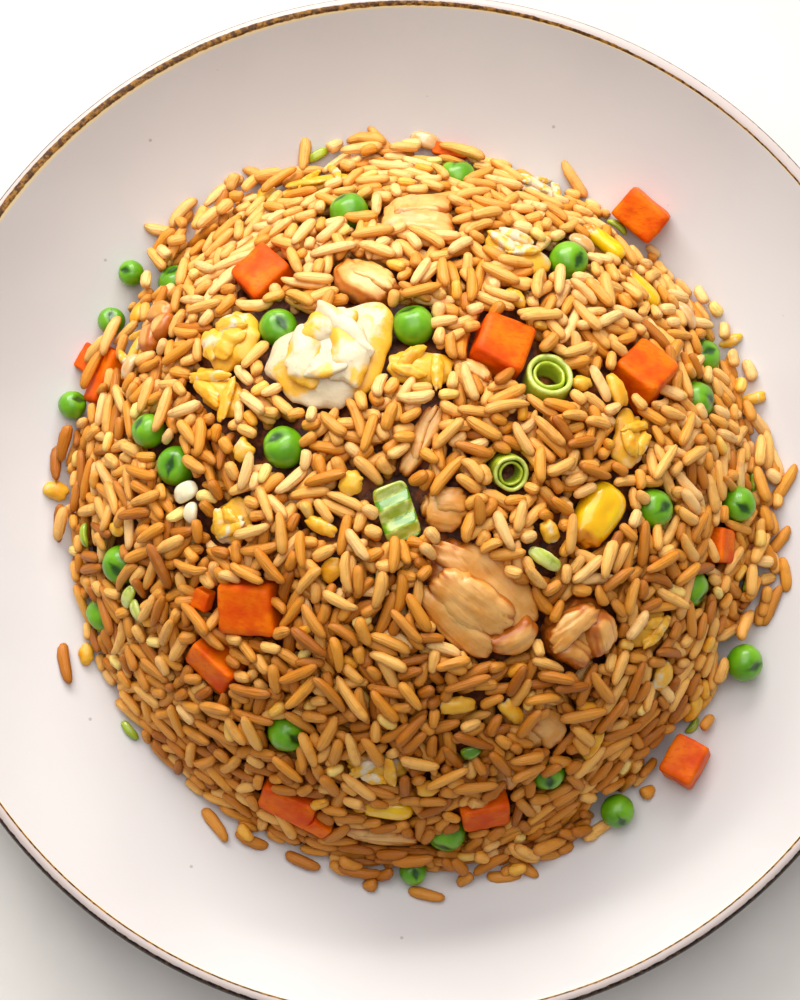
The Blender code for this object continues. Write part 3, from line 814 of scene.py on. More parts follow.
egg_material = scrambled_egg()
for count, node in enumerate(numbered("egg")):
    yolk, sheets = YOLK.get(node, USUAL_YOLK), SHEETS.get(node, USUAL_SHEETS)
    forms = egg_sheets(*lump_stance(node), 300 + 7 * count, yolk, sheets)
    new_topping(f"{node}_curd", forms, CURD_LOOPS, CURD_SIDES, egg_material, "egg", node)
rng = np.random.default_rng(31)
forms = []
for count, (bearing, lean) in enumerate(BITS_ON_DOME):
    size = rng.uniform((4.5, 3.2, 2.6), (8.0, 5.0, 3.8))
    stance = stance_on_dome(bearing, lean, rng.uniform(0, 180), size[2] / 2 - 1.8)
    forms.append((stance, *egg_form(size, 400 + 5 * count, rng.uniform(0.35, 0.9), BIT_LOOPS, BIT_SIDES)))
for count, (bearing, distance) in enumerate(BITS_ON_PLATE):
    size = rng.uniform((4.5, 3.0, 2.4), (7.0, 4.5, 3.2))
    stance = stance_on_plate(bearing, distance, rng.uniform(0, 180), size[2] / 2)
    forms.append((stance, *egg_form(size, 500 + 5 * count, rng.uniform(0.4, 0.8), BIT_LOOPS, BIT_SIDES)))
new_topping("egg_bits", forms, BIT_LOOPS, BIT_SIDES, egg_material, "egg")
print("egg curds:", len(numbered("egg")), "and bits:", len(forms))

# %% [markdown]
# ## Corn
# A kernel cut from the cob is a plump wedge: broad and domed at the crown, narrow where it was cut, with a
# frill of torn skin there. The wedge comes from scaling the form across as it runs along.

# %% Corn kernels
KERNEL_LOOPS, KERNEL_SIDES = 30, 44


def kernel_form(size, seed):
    """A form of power 2.8 whose width grows from 0.72 to 1.1 along X; noise frills the narrow end."""
    unit = rounded_form(KERNEL_LOOPS, KERNEL_SIDES, 2.8, 2.4)
    along = unit[:, :1]
    wedge = np.concatenate([np.ones_like(along), 1 + 0.16 * along, 1 + 0.08 * along], 1)
    kernel = unit * (1, 0.9, 0.96) * wedge * np.asarray(size) / 2
    torn = np.clip((-0.42 - along[:, 0] + 0.2 * noise(kernel, 2.5, seed)) / 0.25, 0, 1)
    dimple = np.exp(-((unit[:, 0] - 0.2) ** 2 + unit[:, 1] ** 2) / 0.08) * (unit[:, 2] > 0)
    lift = 0.25 * noise(kernel, 5, seed) - 0.35 * dimple + torn * 0.9 * folds(kernel, 1.9, seed + 1)
    return swollen(kernel, lift), {"tone": torn}


corn_material = corn_skin()
stand_ins("corn", "kernel", lump_stance, kernel_form, 600, KERNEL_LOOPS, KERNEL_SIDES, corn_material)
form = (stance_on_dome(53, 55, 318, 0.4), *kernel_form((12, 5, 4.4), 650))
new_topping("corn_strip", [form], KERNEL_LOOPS, KERNEL_SIDES, corn_material, "corn")

# %% [markdown]
# ## Chicken
# Sliced chicken thigh: pale firm slices that lie over each other, with fibres that run one way and an edge
# that browned in the pan. A slice is a flat form with a ragged outline. Furrows along its fibres are noise
# stretched seven times along X.

# %% Chicken
MEAT_LOOPS, MEAT_SIDES = 40, 60
SCRAP_LOOPS, SCRAP_SIDES = 16, 24
FIBRE_STRETCH = (0.14, 1, 1)
LARGE_PIECE = (
    # place and size as shares of the whole piece, turn, tip, how far it bows to the side, how brown it is
    ((0.0, 0.24, 0.0), (1.0, 0.56, 0.5), -4, -10, -0.17, 0.12),
    ((-0.04, -0.06, 0.2), (0.66, 0.62, 0.44), 4, 14, 0.0, 0.12),
    ((0.02, -0.34, 0.08), (0.72, 0.4, 0.44), 2, 20, 0.08, 0.25),
    ((0.0, 0.0, -0.2), (0.9, 0.9, 0.6), 0, 0, 0.0, 0.5),
    ((0.38, -0.02, 0.14), (0.36, 0.34, 0.44), 74, 18, 0.2, 0.62),
)
FOLDED_PIECE = (
    ((0.0, 0.0, -0.12), (1.0, 1.0, 0.8), 0, 0, 0.0, 0.45),
    ((-0.1, 0.26, 0.2), (0.8, 0.42, 0.5), 6, -14, -0.12, 0.3),
    ((0.22, -0.1, 0.2), (0.62, 0.5, 0.5), 80, 12, 0.1, 0.4),
    ((-0.24, -0.16, 0.16), (0.56, 0.4, 0.5), 118, 12, 0.1, 0.55),
)
SMALL_PIECE = (
    ((0.0, 0.0, -0.06), (1.0, 1.0, 0.88), 0, 0, 0.0, 0.3),
    ((0.08, 0.16, 0.2), (0.76, 0.6, 0.5), 10, -10, -0.1, 0.22),
)
PIECE_SLICES = {"chicken_01": LARGE_PIECE, "chicken_02": FOLDED_PIECE}


def meat_form(size, seed, brown, loops, sides, bow=0.0):
    """A flat form bowed aside by bow x^2, with a ragged outline, furrows along X and a browned edge."""
    size = np.asarray(size)
    unit = rounded_form(loops, sides, 2.8, 3.2)
    reach, outline = ragged(unit, (0.13, 0.6), (0.05, 0.16), seed + 4)
    block = unit * size / 2 * np.stack([outline, outline, np.ones_like(outline)], 1)
    block[:, 1] += bow * size[0] * (unit[:, 0] ** 2 - 0.4)
    along_fibres = block * FIBRE_STRETCH
    furrow = noise(along_fibres, 1.1, seed)
    crease = np.exp(-((noise(block * (0.4, 1, 1), size.min() * 0.7, seed + 1) / 0.1) ** 2))
    lift = 0.12 * furrow - 0.05 * size.min() * crease + 0.07 * size.min() * noise(block, 7, seed + 2)
    lift += 0.03 * size.min() * folds(block, 2.6, seed + 6)
    # tone: the browned edge and the patches are the meat's own; darker underneath, in furrows and in creases
    # is painted shade
    tone = brown + 0.3 * noise(block, 6, seed + 3) - 0.25 * unit[:, 2]
    tone = tone - 0.1 * furrow + 0.4 * crease + 0.4 * reach**4
    return swollen(block, lift), {"tone": np.clip(tone, 0, 1), "skin": along_fibres}


meat_material = fried_chicken_meat()
for count, node in enumerate(numbered("chicken")):
    middle, axes, size = lump_stance(node)
    forms = []
    for part, (place, share, turn, tip, bow, brown) in enumerate(PIECE_SLICES.get(node, SMALL_PIECE)):
        stance = (middle + (place * size) @ axes, leaning(axes, turn, tip))
        made = meat_form(share * size, 700 + 10 * count + part, brown, MEAT_LOOPS, MEAT_SIDES, bow)
        forms.append((stance, *made))
    new_topping(f"{node}_meat", forms, MEAT_LOOPS, MEAT_SIDES, meat_material, "chicken", node)
forms = []
for count, offset in enumerate(((0, 0), (3, 1.2), (-2, 2.4))):
    stance = stance_on_dome(146 + offset[0], 51 + offset[1], 60 + 50 * count, 0.6)
    forms.append((stance, *meat_form((7.5, 5, 4.2), 860 + count, 0.5, SCRAP_LOOPS, SCRAP_SIDES)))
new_topping("chicken_scraps", forms, SCRAP_LOOPS, SCRAP_SIDES, meat_material, "chicken")
print("chicken pieces:", len(numbered("chicken")), "and scraps:", len(forms))

# %% [markdown]
# ## Scallion and onion
# A slice of scallion is a nest of tubes, because the leaves wrap each other. Each tube is a hoop: a rounded
# wall section carried round a circle that is not quite even. The longer piece is cut open, so it shows as
# a row of folds. Small green slivers and soft onion lie around it.

# %% Scallion
HOOP_STEPS, WALL_POINTS = 48, 12
STALK_LOOPS, STALK_SIDES = 72, 34
# radius, wall, height and paleness of the two tubes
LEAVES = ((0.87, 0.13, 1.0, 0.5), (0.6, 0.09, 0.86, 0.32))
SLIVER_LOOPS, SLIVER_SIDES = 16, 16
SLIVERS_ON_DOME = (
    # bearing, lean, heading, length and width in mm, paleness
    *((334, 21, 330, 9, 3.6, 0.85), (283, 39, 20, 5, 3.6, 0.1), (198, 50, 40, 7, 3.4, 0.8)),
    *((201, 49, 300, 6, 3, 0.9), (185, 59, 95, 6, 2.4, 0.3), (348, 63, 80, 6, 2.4, 0.4)),
    *((4, 63, 75, 5, 2.4, 0.3), (53, 63, 320, 6, 2.4, 0.4), (323, 66, 60, 5, 2.2, 0.3)),
)
SLIVERS_ON_PLATE = ((105, 91, 30, 6, 2.4, 0.4), (218, 88, 310, 6, 2.2, 0.3))


def leaf_hoop(size, radius, wall, tall, paleness, seed):
    """A tube: a wall section of power 4 carried round a circle whose radius wavers with the angle."""
    round_angle = np.linspace(0, math.tau, HOOP_STEPS, endpoint=False)
    section = power_curve(np.linspace(0, math.tau, WALL_POINTS, endpoint=False), 4)
    circle = np.stack([np.cos(round_angle), np.sin(round_angle)], 1)
    flat = np.pad(circle, ((0, 0), (0, 1)))
    waver = 1 + 0.05 * noise(flat, 0.7, seed)
    reach = radius * waver[:, None] + wall * section[:, 0]
    height = (tall + 0.06 * noise(flat, 0.5, seed + 1))[:, None] * section[:, 1]
    points = np.stack([reach * circle[:, :1], reach * circle[:, 1:], height], -1).reshape(-1, 3) * size / 2
    cut = np.tile(np.clip(np.abs(section[:, 1]) * 2 - 1, 0, 1), HOOP_STEPS)
    return points, {"tone": paleness + 0.35 * cut}


def ridged_form(size, seed):
    """A flat block with folds on top: height |2 t - 1|, where t is (1.3 (x + 1) + 0.1 y + 0.4) mod 1."""
    unit = rounded_form(STALK_LOOPS, STALK_SIDES, 6, 5)
    phase = np.mod(1.3 * (unit[:, 0] + 1) + 0.1 * unit[:, 1] + 0.4, 1)
    upper = unit[:, 2] > 0
    points = unit * np.asarray(size) / 2
    points[:, 2] *= np.where(upper, 0.25 + 0.75 * np.abs(2 * phase - 1), 1)
    stripes = noise(unit * (1, 0.3, 1), 0.12, seed)
    tone = 0.1 + 0.7 * (phase > 0.5) * upper + 0.4 * stripes
    return swollen(points, 0.15 * noise(points, 3, seed)), {"tone": tone}


def sliver_form(size, paleness, seed):
    """A thin curled shaving: a flat form whose middle arches up."""
    unit = rounded_form(SLIVER_LOOPS, SLIVER_SIDES, 2.6, 2.4)
    points = unit * np.asarray(size) / 2
    points[:, 2] -= size[0] * 0.12 * (unit[:, 0] ** 2 - 0.4)
    tone = np.clip(paleness + 0.3 * noise(unit * (0.3, 1, 1), 0.3, seed), 0, 1)
    return swollen(points, 0.15 * noise(points, 1.6, seed)), {"tone": tone}


scallion_material = scallion_skin()
for count, node in enumerate(numbered("scallion")[:2]):
    middle, axes, size = ring_stance(node)
    seed = 900 + 10 * count
    forms = [((middle, axes), *leaf_hoop(size, *leaf, seed + tube)) for tube, leaf in enumerate(LEAVES)]
    shape = (forms, HOOP_STEPS, WALL_POINTS, scallion_material)
    new_topping(f"{node}_slice", *shape, "scallion", node, hoop=True)
middle, axes, size = block_stance("scallion_03")
if size[0] < size[1]:
    axes, size = np.stack([axes[1], -axes[0], axes[2]]), size[[1, 0, 2]]
form = ((middle, axes), *ridged_form(size, 930))
shape = ([form], STALK_LOOPS, STALK_SIDES, scallion_material)
new_topping("scallion_03_stalk", *shape, "scallion", "scallion_03")
forms = []
for count, (bearing, lean, heading, length, width, paleness) in enumerate(SLIVERS_ON_DOME):
    stance = stance_on_dome(bearing, lean, heading, 0.4)
    forms.append((stance, *sliver_form((length, width, 1.8), paleness, 940 + count)))
for count, (bearing, distance, heading, length, width, paleness) in enumerate(SLIVERS_ON_PLATE):
    stance = stance_on_plate(bearing, distance, heading, 0.9)
    forms.append((stance, *sliver_form((length, width, 1.8), paleness, 960 + count)))
new_topping("scallion_slivers", forms, SLIVER_LOOPS, SLIVER_SIDES, scallion_material, "scallion")
print("scallion slices and slivers:", 3 + len(forms))

# %% Onion
ONION_ON_DOME = (
    *((179, 35, 20, 7, 4.6, 0.0), (184, 34, 80, 5, 3.6, 0.1), (56, 51, 330, 7, 4, 0.8)),
    *((34, 59, 300, 8, 4, 0.7), (155, 54, 60, 7, 4, 0.7)),
)
forms = []
for count, (bearing, lean, heading, length, width, warmth) in enumerate(ONION_ON_DOME):
    stance = stance_on_dome(bearing, lean, heading, 0.3)
    forms.append((stance, *sliver_form((length, width, 2.4), warmth, 970 + count)))
forms.append((stance_on_plate(88, 91.5, 340, 1.1), *sliver_form((8, 4, 2.2), 0.7, 980)))
new_topping("onion_pieces", forms, SLIVER_LOOPS, SLIVER_SIDES, soft_onion(), "egg")

# %% [markdown]
# ## A height map for the pile
# The rice could be dropped by a physics simulation, but a dome that was pressed in a bowl would slump. Here
# the pile is a height map over the dome's map: for every cell, how high the rice reaches so far. It starts
# from the core or the plate, whichever is higher, and the toppings are stamped into it first. A second map,
# bare, holds the rice without the toppings.

# %% The grid
CELL = 0.7
CORE_DEPTH = 5.6
# a topping is in the way of grains where less than this is left between it and the limit
TOPPING_MARGIN, SKIRT_TOPPING_MARGIN = 2.6, 1.0
LOOSE_LEAN, PRESSED_LEAN = math.radians(34), math.radians(56)


def cells_at(pile, spots):
    """The grid cells of map places, held inside the grid."""
    index = np.rint((spots[..., :2] + pile.reach) / CELL).astype(int).clip(0, len(pile.places) - 1)
    return index[..., 0], index[..., 1]


def new_pile(reach, curved):
    """A map of cells from -reach to reach both ways; flow is the heading that neighbours share there."""
    ticks = np.arange(int(2 * reach / CELL) + 1) * CELL - reach
    places = np.stack(np.meshgrid(ticks, ticks, [0.0], indexing="ij"), -1)[:, :, 0]
    return types.SimpleNamespace(
        reach=reach, curved=curved, places=places, flow=math.pi * 1.6 * noise(places, 13.0, 44)
    )


def highest(pile, spots):
    """The highest of the spots in each cell, spread one cell each way, and -99 where there is none."""
    found = np.full(pile.places.shape[:2], -99.0)
    np.maximum.at(found, cells_at(pile, spots), spots[..., 2])
    for axis, step in itertools.product((0, 1), (-1, 1)):
        found = np.maximum(found, np.roll(found, step, axis))
    return found


def core_height(places):
    """Height of the core under the even dome: its depth, with lumps the size of grains and half grains."""
    return -CORE_DEPTH + 0.9 * folds(places, 6.0, 41) + 0.6 * noise(places, 2.4, 42)


def plate_height(lean):
    """Height of the plate on the map: where a ray from the dome's centre meets it, by repeated guesses."""
    reach = np.full(lean.shape, DOME_RADIUS)
    for guess in range(30):
        met = (plate_top(reach * np.sin(lean)) + GAP - DOME_CENTRE[2]) / np.cos(lean)
        reach = np.clip((reach + met) / 2, 0, DOME_RADIUS + 30)
    return reach - DOME_RADIUS


dome = new_pile(DOME_RADIUS * (FOOT_LEAN + 0.10), curved=True)
dome_lean = np.linalg.norm(dome.places, axis=-1) / DOME_RADIUS
dome.loose = np.clip((PRESSED_LEAN - dome_lean) / (PRESSED_LEAN - LOOSE_LEAN), 0, 1)
dome.limit = 0.5 + dome.loose * (0.5 + 0.9 * noise(dome.places, 12.0, 43))
stamp = highest(dome, to_map(np.concatenate(standing)))
start = np.maximum(core_height(from_map(dome.places)), plate_height(dome_lean))
dome.heights, dome.bare = np.maximum(start, stamp), start
dome.taken = stamp > dome.limit - TOPPING_MARGIN
print("height map:", len(dome.places), "cells a side, each", CELL, "mm")
print(f"toppings stand above {dome.taken[dome_lean < FOOT_LEAN].mean():.0%} of the dome")

# %% [markdown]
# ## Grains that rest on each other
# A long grain of cooked rice is about 10 mm by 3 mm, with blunt ends, and one in seven is broken. Grains are
# dropped one at a time. Of several random places and headings the lowest one wins, as a grain that rolls
# into a hollow. It rests like a plank on a rough floor: the highest bridge between one support on each side
# of its middle. In the loose crown grains lie at steep slants, and low on the sides they are pressed flat.

# %% One grain's rest
GRAIN_LENGTH, GRAIN_WIDTH, GRAIN_FLATNESS = 9.9, 2.95, 0.86
LENGTH_SPREAD, SHORTEST, LONGEST = 1.2, 7.0, 12.8
BROKEN_SHARE, BROKEN_SHORTEST, BROKEN_LONGEST = 0.15, 4.2, 7.0
WIDTH_SPREAD, NARROWEST, WIDEST = 0.18, 2.5, 3.5
BOW_SPREAD, MOST_BOW = 0.5, 1.4
# where a grain is tested: shares of its length and of its width
ALONG = np.array([-0.44, -0.3, -0.15, 0.0, 0.15, 0.3, 0.44])
ACROSS = np.array([-0.35, 0.0, 0.35])


def grain_profile(share):
    """Half width along a grain, from -1 to 1: the square root of 1 - |t|^4, which has blunt ends."""
    return np.sqrt(np.clip(1 - np.abs(share) ** 4, 0, 1))


def bent(bow, share):
    """How far aside a bowed grain's middle line lies, along it from -1 to 1: the bow times 0.6 - t^2."""
    return bow * (0.6 - share**2)


def random_spots(rng, pile, band, tries):
    """Map places spread evenly over the band between two distances from the middle, and their bearings."""
    if pile.curved:
        low, high = np.cos(np.array(band[::-1]) / DOME_RADIUS)
        distance = DOME_RADIUS * np.arccos(rng.uniform(low, high, tries))
    else:
        distance = np.sqrt(rng.uniform(band[0] ** 2, band[1] ** 2, tries))
    turn = rng.uniform(0, math.tau, tries)
    return distance[:, None] * np.stack([np.cos(turn), np.sin(turn)], 1), turn


def hollow_spots(rng, pile, band, depth, tries):
    """Map places among the cells that still lie deeper than depth under the limit, and their bearings."""
    distance = np.linalg.norm(pile.places, axis=-1)
    deep = pile.places[(pile.limit - pile.heights > depth) & (distance < band[1])]
    spots = deep[rng.integers(len(deep), size=tries), :2] + rng.uniform(-CELL, CELL, (tries, 2))
    return spots, np.arctan2(spots[:, 1], spots[:, 0])


def steps_on_map(pile, spots, heading):
    """Where one mm ahead and one mm aside lead on the map, which stretches what runs round the dome."""
    arc = np.linalg.norm(spots, axis=-1, keepdims=True) + 1e-9
    compass = spots / arc
    around = np.stack([-compass[..., 1], compass[..., 0]], -1)
    if pile.curved:
        around = around * (arc / DOME_RADIUS) / np.sin(arc / DOME_RADIUS)
    cosine, sine = np.cos(heading)[..., None], np.sin(heading)[..., None]
    return cosine * compass + sine * around, cosine * around - sine * compass


def resting_line(need, reach, steepest):
    """Height and slope of the lowest line over what each sample needs; reach is how far off each one is."""
    left, right = need[:, :3, None], need[:, None, 4:]
    left_reach, right_reach = reach[:, :3, None], reach[:, None, 4:]
    bridges = (left * right_reach - right * left_reach) / (right_reach - left_reach)
    level = np.maximum(bridges.max((1, 2)), need[:, 3])
    least = ((need[:, 4:] - level[:, None]) / reach[:, 4:]).max(1)
    most = ((level[:, None] - need[:, :3]) / -reach[:, :3]).min(1)
    slope = np.clip(np.clip(0, least, most), -steepest, steepest)
    return (need - slope[:, None] * reach).max(1), slope


profile_along = grain_profile(2 * ALONG)
profile_across = np.sqrt(1 - (2 * ACROSS) ** 2)
stamp_grid = np.meshgrid(np.linspace(-1, 1, 27), np.linspace(-1, 1, 9))
STAMP_ALONG, STAMP_ACROSS = (axis.ravel() for axis in stamp_grid)


# %% Many grains to try
FLOW_SHARE, FLOW_SPREAD = 0.55, 0.3
ROUND_SHARE, ROUND_SPREAD = 0.4, 0.35


def random_grains(rng, pile, here, turn, broken):
    """Headings, lengths, widths and bows: some grains follow the flow, some lie round the dome."""
    tries = len(turn)
    choice = rng.random(tries)
    heading = rng.uniform(0, math.pi, tries)
    with_flow = pile.flow[here] - turn + rng.normal(0, FLOW_SPREAD, tries)
    heading = np.where(choice < FLOW_SHARE, with_flow, heading)
    round_dome = (choice > 1 - ROUND_SHARE) & (pile.loose[here] < 0.5)
    heading = np.where(round_dome, math.pi / 2 + rng.normal(0, ROUND_SPREAD, tries), heading)
    length = rng.normal(GRAIN_LENGTH, LENGTH_SPREAD, tries).clip(SHORTEST, LONGEST)
    is_broken = rng.random(tries) < broken
    length = np.where(is_broken, rng.uniform(BROKEN_SHORTEST, BROKEN_LONGEST, tries), length)
    width = rng.normal(GRAIN_WIDTH, WIDTH_SPREAD, tries).clip(NARROWEST, WIDEST)
    bow = rng.normal(0, BOW_SPREAD, tries).clip(-MOST_BOW, MOST_BOW) * length / GRAIN_LENGTH
    return heading, length, width, bow


# %% [markdown]
# The grains go down in passes. The first packs the dome up to its limit. The fillers may rise a little
# higher, where a gap is left. Hollow fillers are sent only to cells that are still deep, and tucked ones may
# slip in beside a topping, half under its side. Loose grains lie on the crown.

# %% Dropping
WHOLE_DOME = (0.0, DOME_RADIUS * (FOOT_LEAN + 0.04))
CROWN = (0.0, DOME_RADIUS * math.radians(46))
# a grain is turned away when this many of its samples are on toppings
COVERED, COVERED_TUCKED = 6, 9
END_SLACK, END_THICKNESS = 0.9, 0.56


def drop_grains(
    rng,
    pile,
    most_grains,
    most_misses,
    tries,
    band=WHOLE_DOME,
    rise=0.0,
    slant=1.0,
    sink=0.95,
    broken=BROKEN_SHARE,
    hollow=None,
    tucked=False,
):
    """Drops grains until enough lie or too many in a row find no room; returns one row of numbers a grain.

    A grain may rise so far over the limit and slant so much more than usual; it sinks into its supports."""
    laid, misses = [], 0
    covered = COVERED_TUCKED if tucked else COVERED
    ground = pile.bare if tucked else pile.heights
    while len(laid) < most_grains and misses < most_misses:
        if hollow:
            spots, turn = hollow_spots(rng, pile, band, hollow, tries)
        else:
            spots, turn = random_spots(rng, pile, band, tries)
        here = cells_at(pile, spots)
        loose = pile.loose[here]
        heading, length, width, bow = random_grains(rng, pile, here, turn, broken)
        ahead, side = steps_on_map(pile, spots, heading)
        reach = length[:, None] * ALONG
        aside = width[:, None, None] * ACROSS + bent(bow[:, None], 2 * ALONG)[:, :, None]
        samples = spots[:, None, None] + ahead[:, None, None] * reach[:, :, None, None]
        samples = samples + side[:, None, None] * aside[..., None]
        cells = cells_at(pile, samples)
        half = width * GRAIN_FLATNESS / 2
        need = (ground[cells] + half[:, None, None] * profile_along[:, None] * profile_across).max(2)
        level, slope = resting_line(need, reach, (0.18 + 0.5 * loose) * slant)
        level -= sink - 0.35 * loose
        room = pile.limit[here] + rise - level - half
        end_limit = pile.limit[cells][:, [0, -1], 1] + rise + END_SLACK
        end_top = level[:, None] + slope[:, None] * reach[:, [0, -1]] + END_THICKNESS * half[:, None]
        clear = pile.taken[cells].sum((1, 2)) < covered
        fits = (room > 0) & (end_top < end_limit).all(1) & clear
        if not fits.any():
            misses += 1
            continue
        misses = 0
        best = np.where(fits, room, -99).argmax()
        along = STAMP_ALONG * length[best] / 2
        across = STAMP_ACROSS * width[best] / 2 * grain_profile(STAMP_ALONG)
        across = across + bent(bow[best], STAMP_ALONG)
        stamped = cells_at(pile, spots[best] + ahead[best] * along[:, None] + side[best] * across[:, None])
        upper = half[best] * grain_profile(STAMP_ALONG) * np.sqrt(1 - 0.9 * STAMP_ACROSS**2)
        for heights in (pile.heights, pile.bare):
            np.maximum.at(heights, stamped, level[best] + slope[best] * along + upper)
        numbers = (level, slope, heading, length, width, bow)
        laid.append((*spots[best], *(number[best] for number in numbers)))
    return np.array(laid)


PASSES = (
    # name, most grains, most misses in a row, tries for each grain, and how they are laid
    ("packed", 6000, 300, 16, dict(sink=1.05)),
    ("fillers", 1100, 250, 12, dict(rise=0.9, broken=0.3)),
    ("hollow fillers", 700, 110, 24, dict(rise=1.2, slant=1.5, broken=0.5, hollow=2.6)),
    ("tucked fillers", 900, 120, 30, dict(rise=1.2, slant=1.5, broken=0.4, hollow=2.6, tucked=True)),
    ("loose grains", 150, 400, 3, dict(band=CROWN, rise=2.4, slant=1.6, broken=0.0)),
)
rng = np.random.default_rng(7)
dropped = []
for name, most_grains, most_misses, tries, way in PASSES:
    dropped.append(drop_grains(rng, dome, most_grains, most_misses, tries, **way))
    print(f"{name} on the dome: {len(dropped[-1])}")

# %% [markdown]
# ## The foot of the pile
# When the bowl is lifted, a skirt of grains slides down and lies on the plate. It has a map of its own, seen
# straight from above, which starts from the plate with the finished dome stamped into it. The pile may rise
# to a slope that runs out on the plate in a ragged line.

# %% The skirt
SKIRT_RISE = 9.0
# how much farther the skirt runs out at each bearing, in mm
RUN_BEARINGS = (0, 45, 90, 135, 180, 225, 270, 315)
RUN_OUT = (2.0, 1.5, 3.0, 4.5, -0.5, 0.0, 3.5, 2.0)
SKIRT_INNER, SKIRT_OUTER = FOOT_RADIUS - 6.0, FOOT_RADIUS + 1.2
skirt = new_pile(SKIRT_OUTER + 16, curved=False)
distance = np.linalg.norm(skirt.places, axis=-1)
dome_points = from_map(np.concatenate([dome.places[..., :2], dome.heights[..., None]], -1))
on_dome = dome_lean < FOOT_LEAN + 0.02
standing_points = np.concatenate(standing)
dome_stamp = highest(skirt, dome_points[on_dome])
topping_stamp = highest(skirt, standing_points)
skirt.bare = np.maximum(plate_top(distance), dome_stamp)
skirt.heights = np.maximum(skirt.bare, topping_stamp)
turn = np.degrees(np.arctan2(skirt.places[..., 1], skirt.places[..., 0]))
ragged_edge = SKIRT_OUTER + np.interp(turn, RUN_BEARINGS, RUN_OUT, period=360)
ragged_edge += 1.6 * noise(skirt.places, 14.0, 61) + 1.0 * noise(skirt.places, 5.0, 62)
share = np.clip((ragged_edge - distance) / (SKIRT_OUTER - SKIRT_INNER), 0, 1)
skirt.limit = plate_top(distance) + np.where(share > 0, 2.0, -1.0) + SKIRT_RISE * share
skirt.loose = np.zeros_like(distance)
skirt.taken = topping_stamp > skirt.limit - SKIRT_TOPPING_MARGIN
way = dict(band=(SKIRT_INNER, SKIRT_OUTER + 6), rise=0.4, slant=5.0, sink=1.0, broken=0.3)
fallen = drop_grains(rng, skirt, 1500, 700, 12, **way)
print("grains in the skirt:", len(fallen))

# %% Core under the grains
CORE_LOOPS, CORE_SIDES = 64, 140
core_lean = np.linspace(FOOT_LEAN - 0.015, 0.03, CORE_LOOPS)
core_turn = np.linspace(0, math.tau, CORE_SIDES, endpoint=False)
compass = np.stack([np.cos(core_turn), np.sin(core_turn)], 1)
spots = (DOME_RADIUS * core_lean)[:, None, None] * compass
spots = np.concatenate([spots, np.zeros((CORE_LOOPS, CORE_SIDES, 1))], -1)
spots[..., 2] = core_height(from_map(spots))
side = from_map(spots)
side[..., 2] = np.maximum(side[..., 2], WELL_TOP + GAP)
base = side[:1] * np.array([0.97, 0.97, 0]) + np.array([0, 0, WELL_TOP + GAP])
loops = np.concatenate([base, side]).reshape(-1, 3)
ends = np.array([[*DOME_CENTRE[:2], WELL_TOP + GAP], side[-1].mean(0)])
core = new_skins("rice_core", np.concatenate([loops, ends])[None], CORE_LOOPS + 1, CORE_SIDES, packed_rice())

# %% [markdown]
# ## The grains' own shape
# A grain is a profile along a gently bowed line: eight sides, six rings and two points, which is enough for
# something ten millimetres long that is repeated thousands of times. One end is a little more pointed, as
# where the germ sat. All grains are worked out at once: each number is an array with one value a grain. How
# brown a grain is comes partly from chance and partly from painted light: grains at the back and on the
# crown are painted paler and those at the front darker, as the light from behind falls on the dome, and each
# grain's upper side is painted paler than its sides.

# %% Grain skins
GRAIN_RINGS = np.array([-0.96, -0.8, -0.4, 0.4, 0.8, 0.96])
GRAIN_SIDES = 8


def grain_skins(middle, axes, length, width, bow, rng):
    """Skins and marks: middle + X t length/2 + Y (width/2 p(t) cos + bend) + Z (thickness/2 p(t) sin)."""
    count = len(middle)
    ring = np.linspace(0, math.tau, GRAIN_SIDES, endpoint=False)
    share = np.concatenate([np.repeat(GRAIN_RINGS, GRAIN_SIDES), [-1.0, 1.0]])
    cosine = np.concatenate([np.tile(np.cos(ring), len(GRAIN_RINGS)), [0, 0]])
    sine = np.concatenate([np.tile(np.sin(ring), len(GRAIN_RINGS)), [0, 0]])
    pointed = 1 - rng.uniform(0.02, 0.2, (count, 1)) * share
    profile = grain_profile(share) * pointed
    uneven = 1 + 0.05 * rng.normal(0, 1, (count, len(share)))
    across = width[:, None] / 2 * profile * cosine * uneven + bent(bow[:, None], share)
    upward = width[:, None] / 2 * GRAIN_FLATNESS * profile * sine * uneven
    local = np.stack([np.broadcast_to(share, across.shape) * length[:, None] / 2, across, upward], -1)
    skins = middle[:, None] + np.einsum("gpi,gij->gpj", local, axes)
    seed = rng.uniform(0, 50, (count, 1))
    skin = np.stack([np.broadcast_to(share, across.shape), cosine + seed, sine + seed * 0.7], -1)
    return skins, skin, sine


def grain_axes(ahead, out):
    """Rows X, Y, Z for many grains: X ahead, Z as near to out as it can be."""
    ahead = ahead / np.linalg.norm(ahead, axis=1, keepdims=True)
    side = np.cross(out, ahead)
    side /= np.linalg.norm(side, axis=1, keepdims=True)
    return np.stack([ahead, side, np.cross(ahead, side)], 1)


def grain_stances(pile, laid):
    """Middles and axes of grains from their rows of numbers."""
    spots, slope, heading = laid[:, :3], laid[:, 3:4], laid[:, 4:5]
    if pile.curved:
        middle = from_map(spots)
        down, around, out = dome_axes(spots)
    else:
        middle = spots
        down = spots * (1, 1, 0) / np.linalg.norm(spots[:, :2], axis=1, keepdims=True)
        out = np.broadcast_to((0.0, 0.0, 1.0), down.shape)
        around = np.cross(out, down)
    return middle, grain_axes(np.cos(heading) * down + np.sin(heading) * around + slope * out, out)


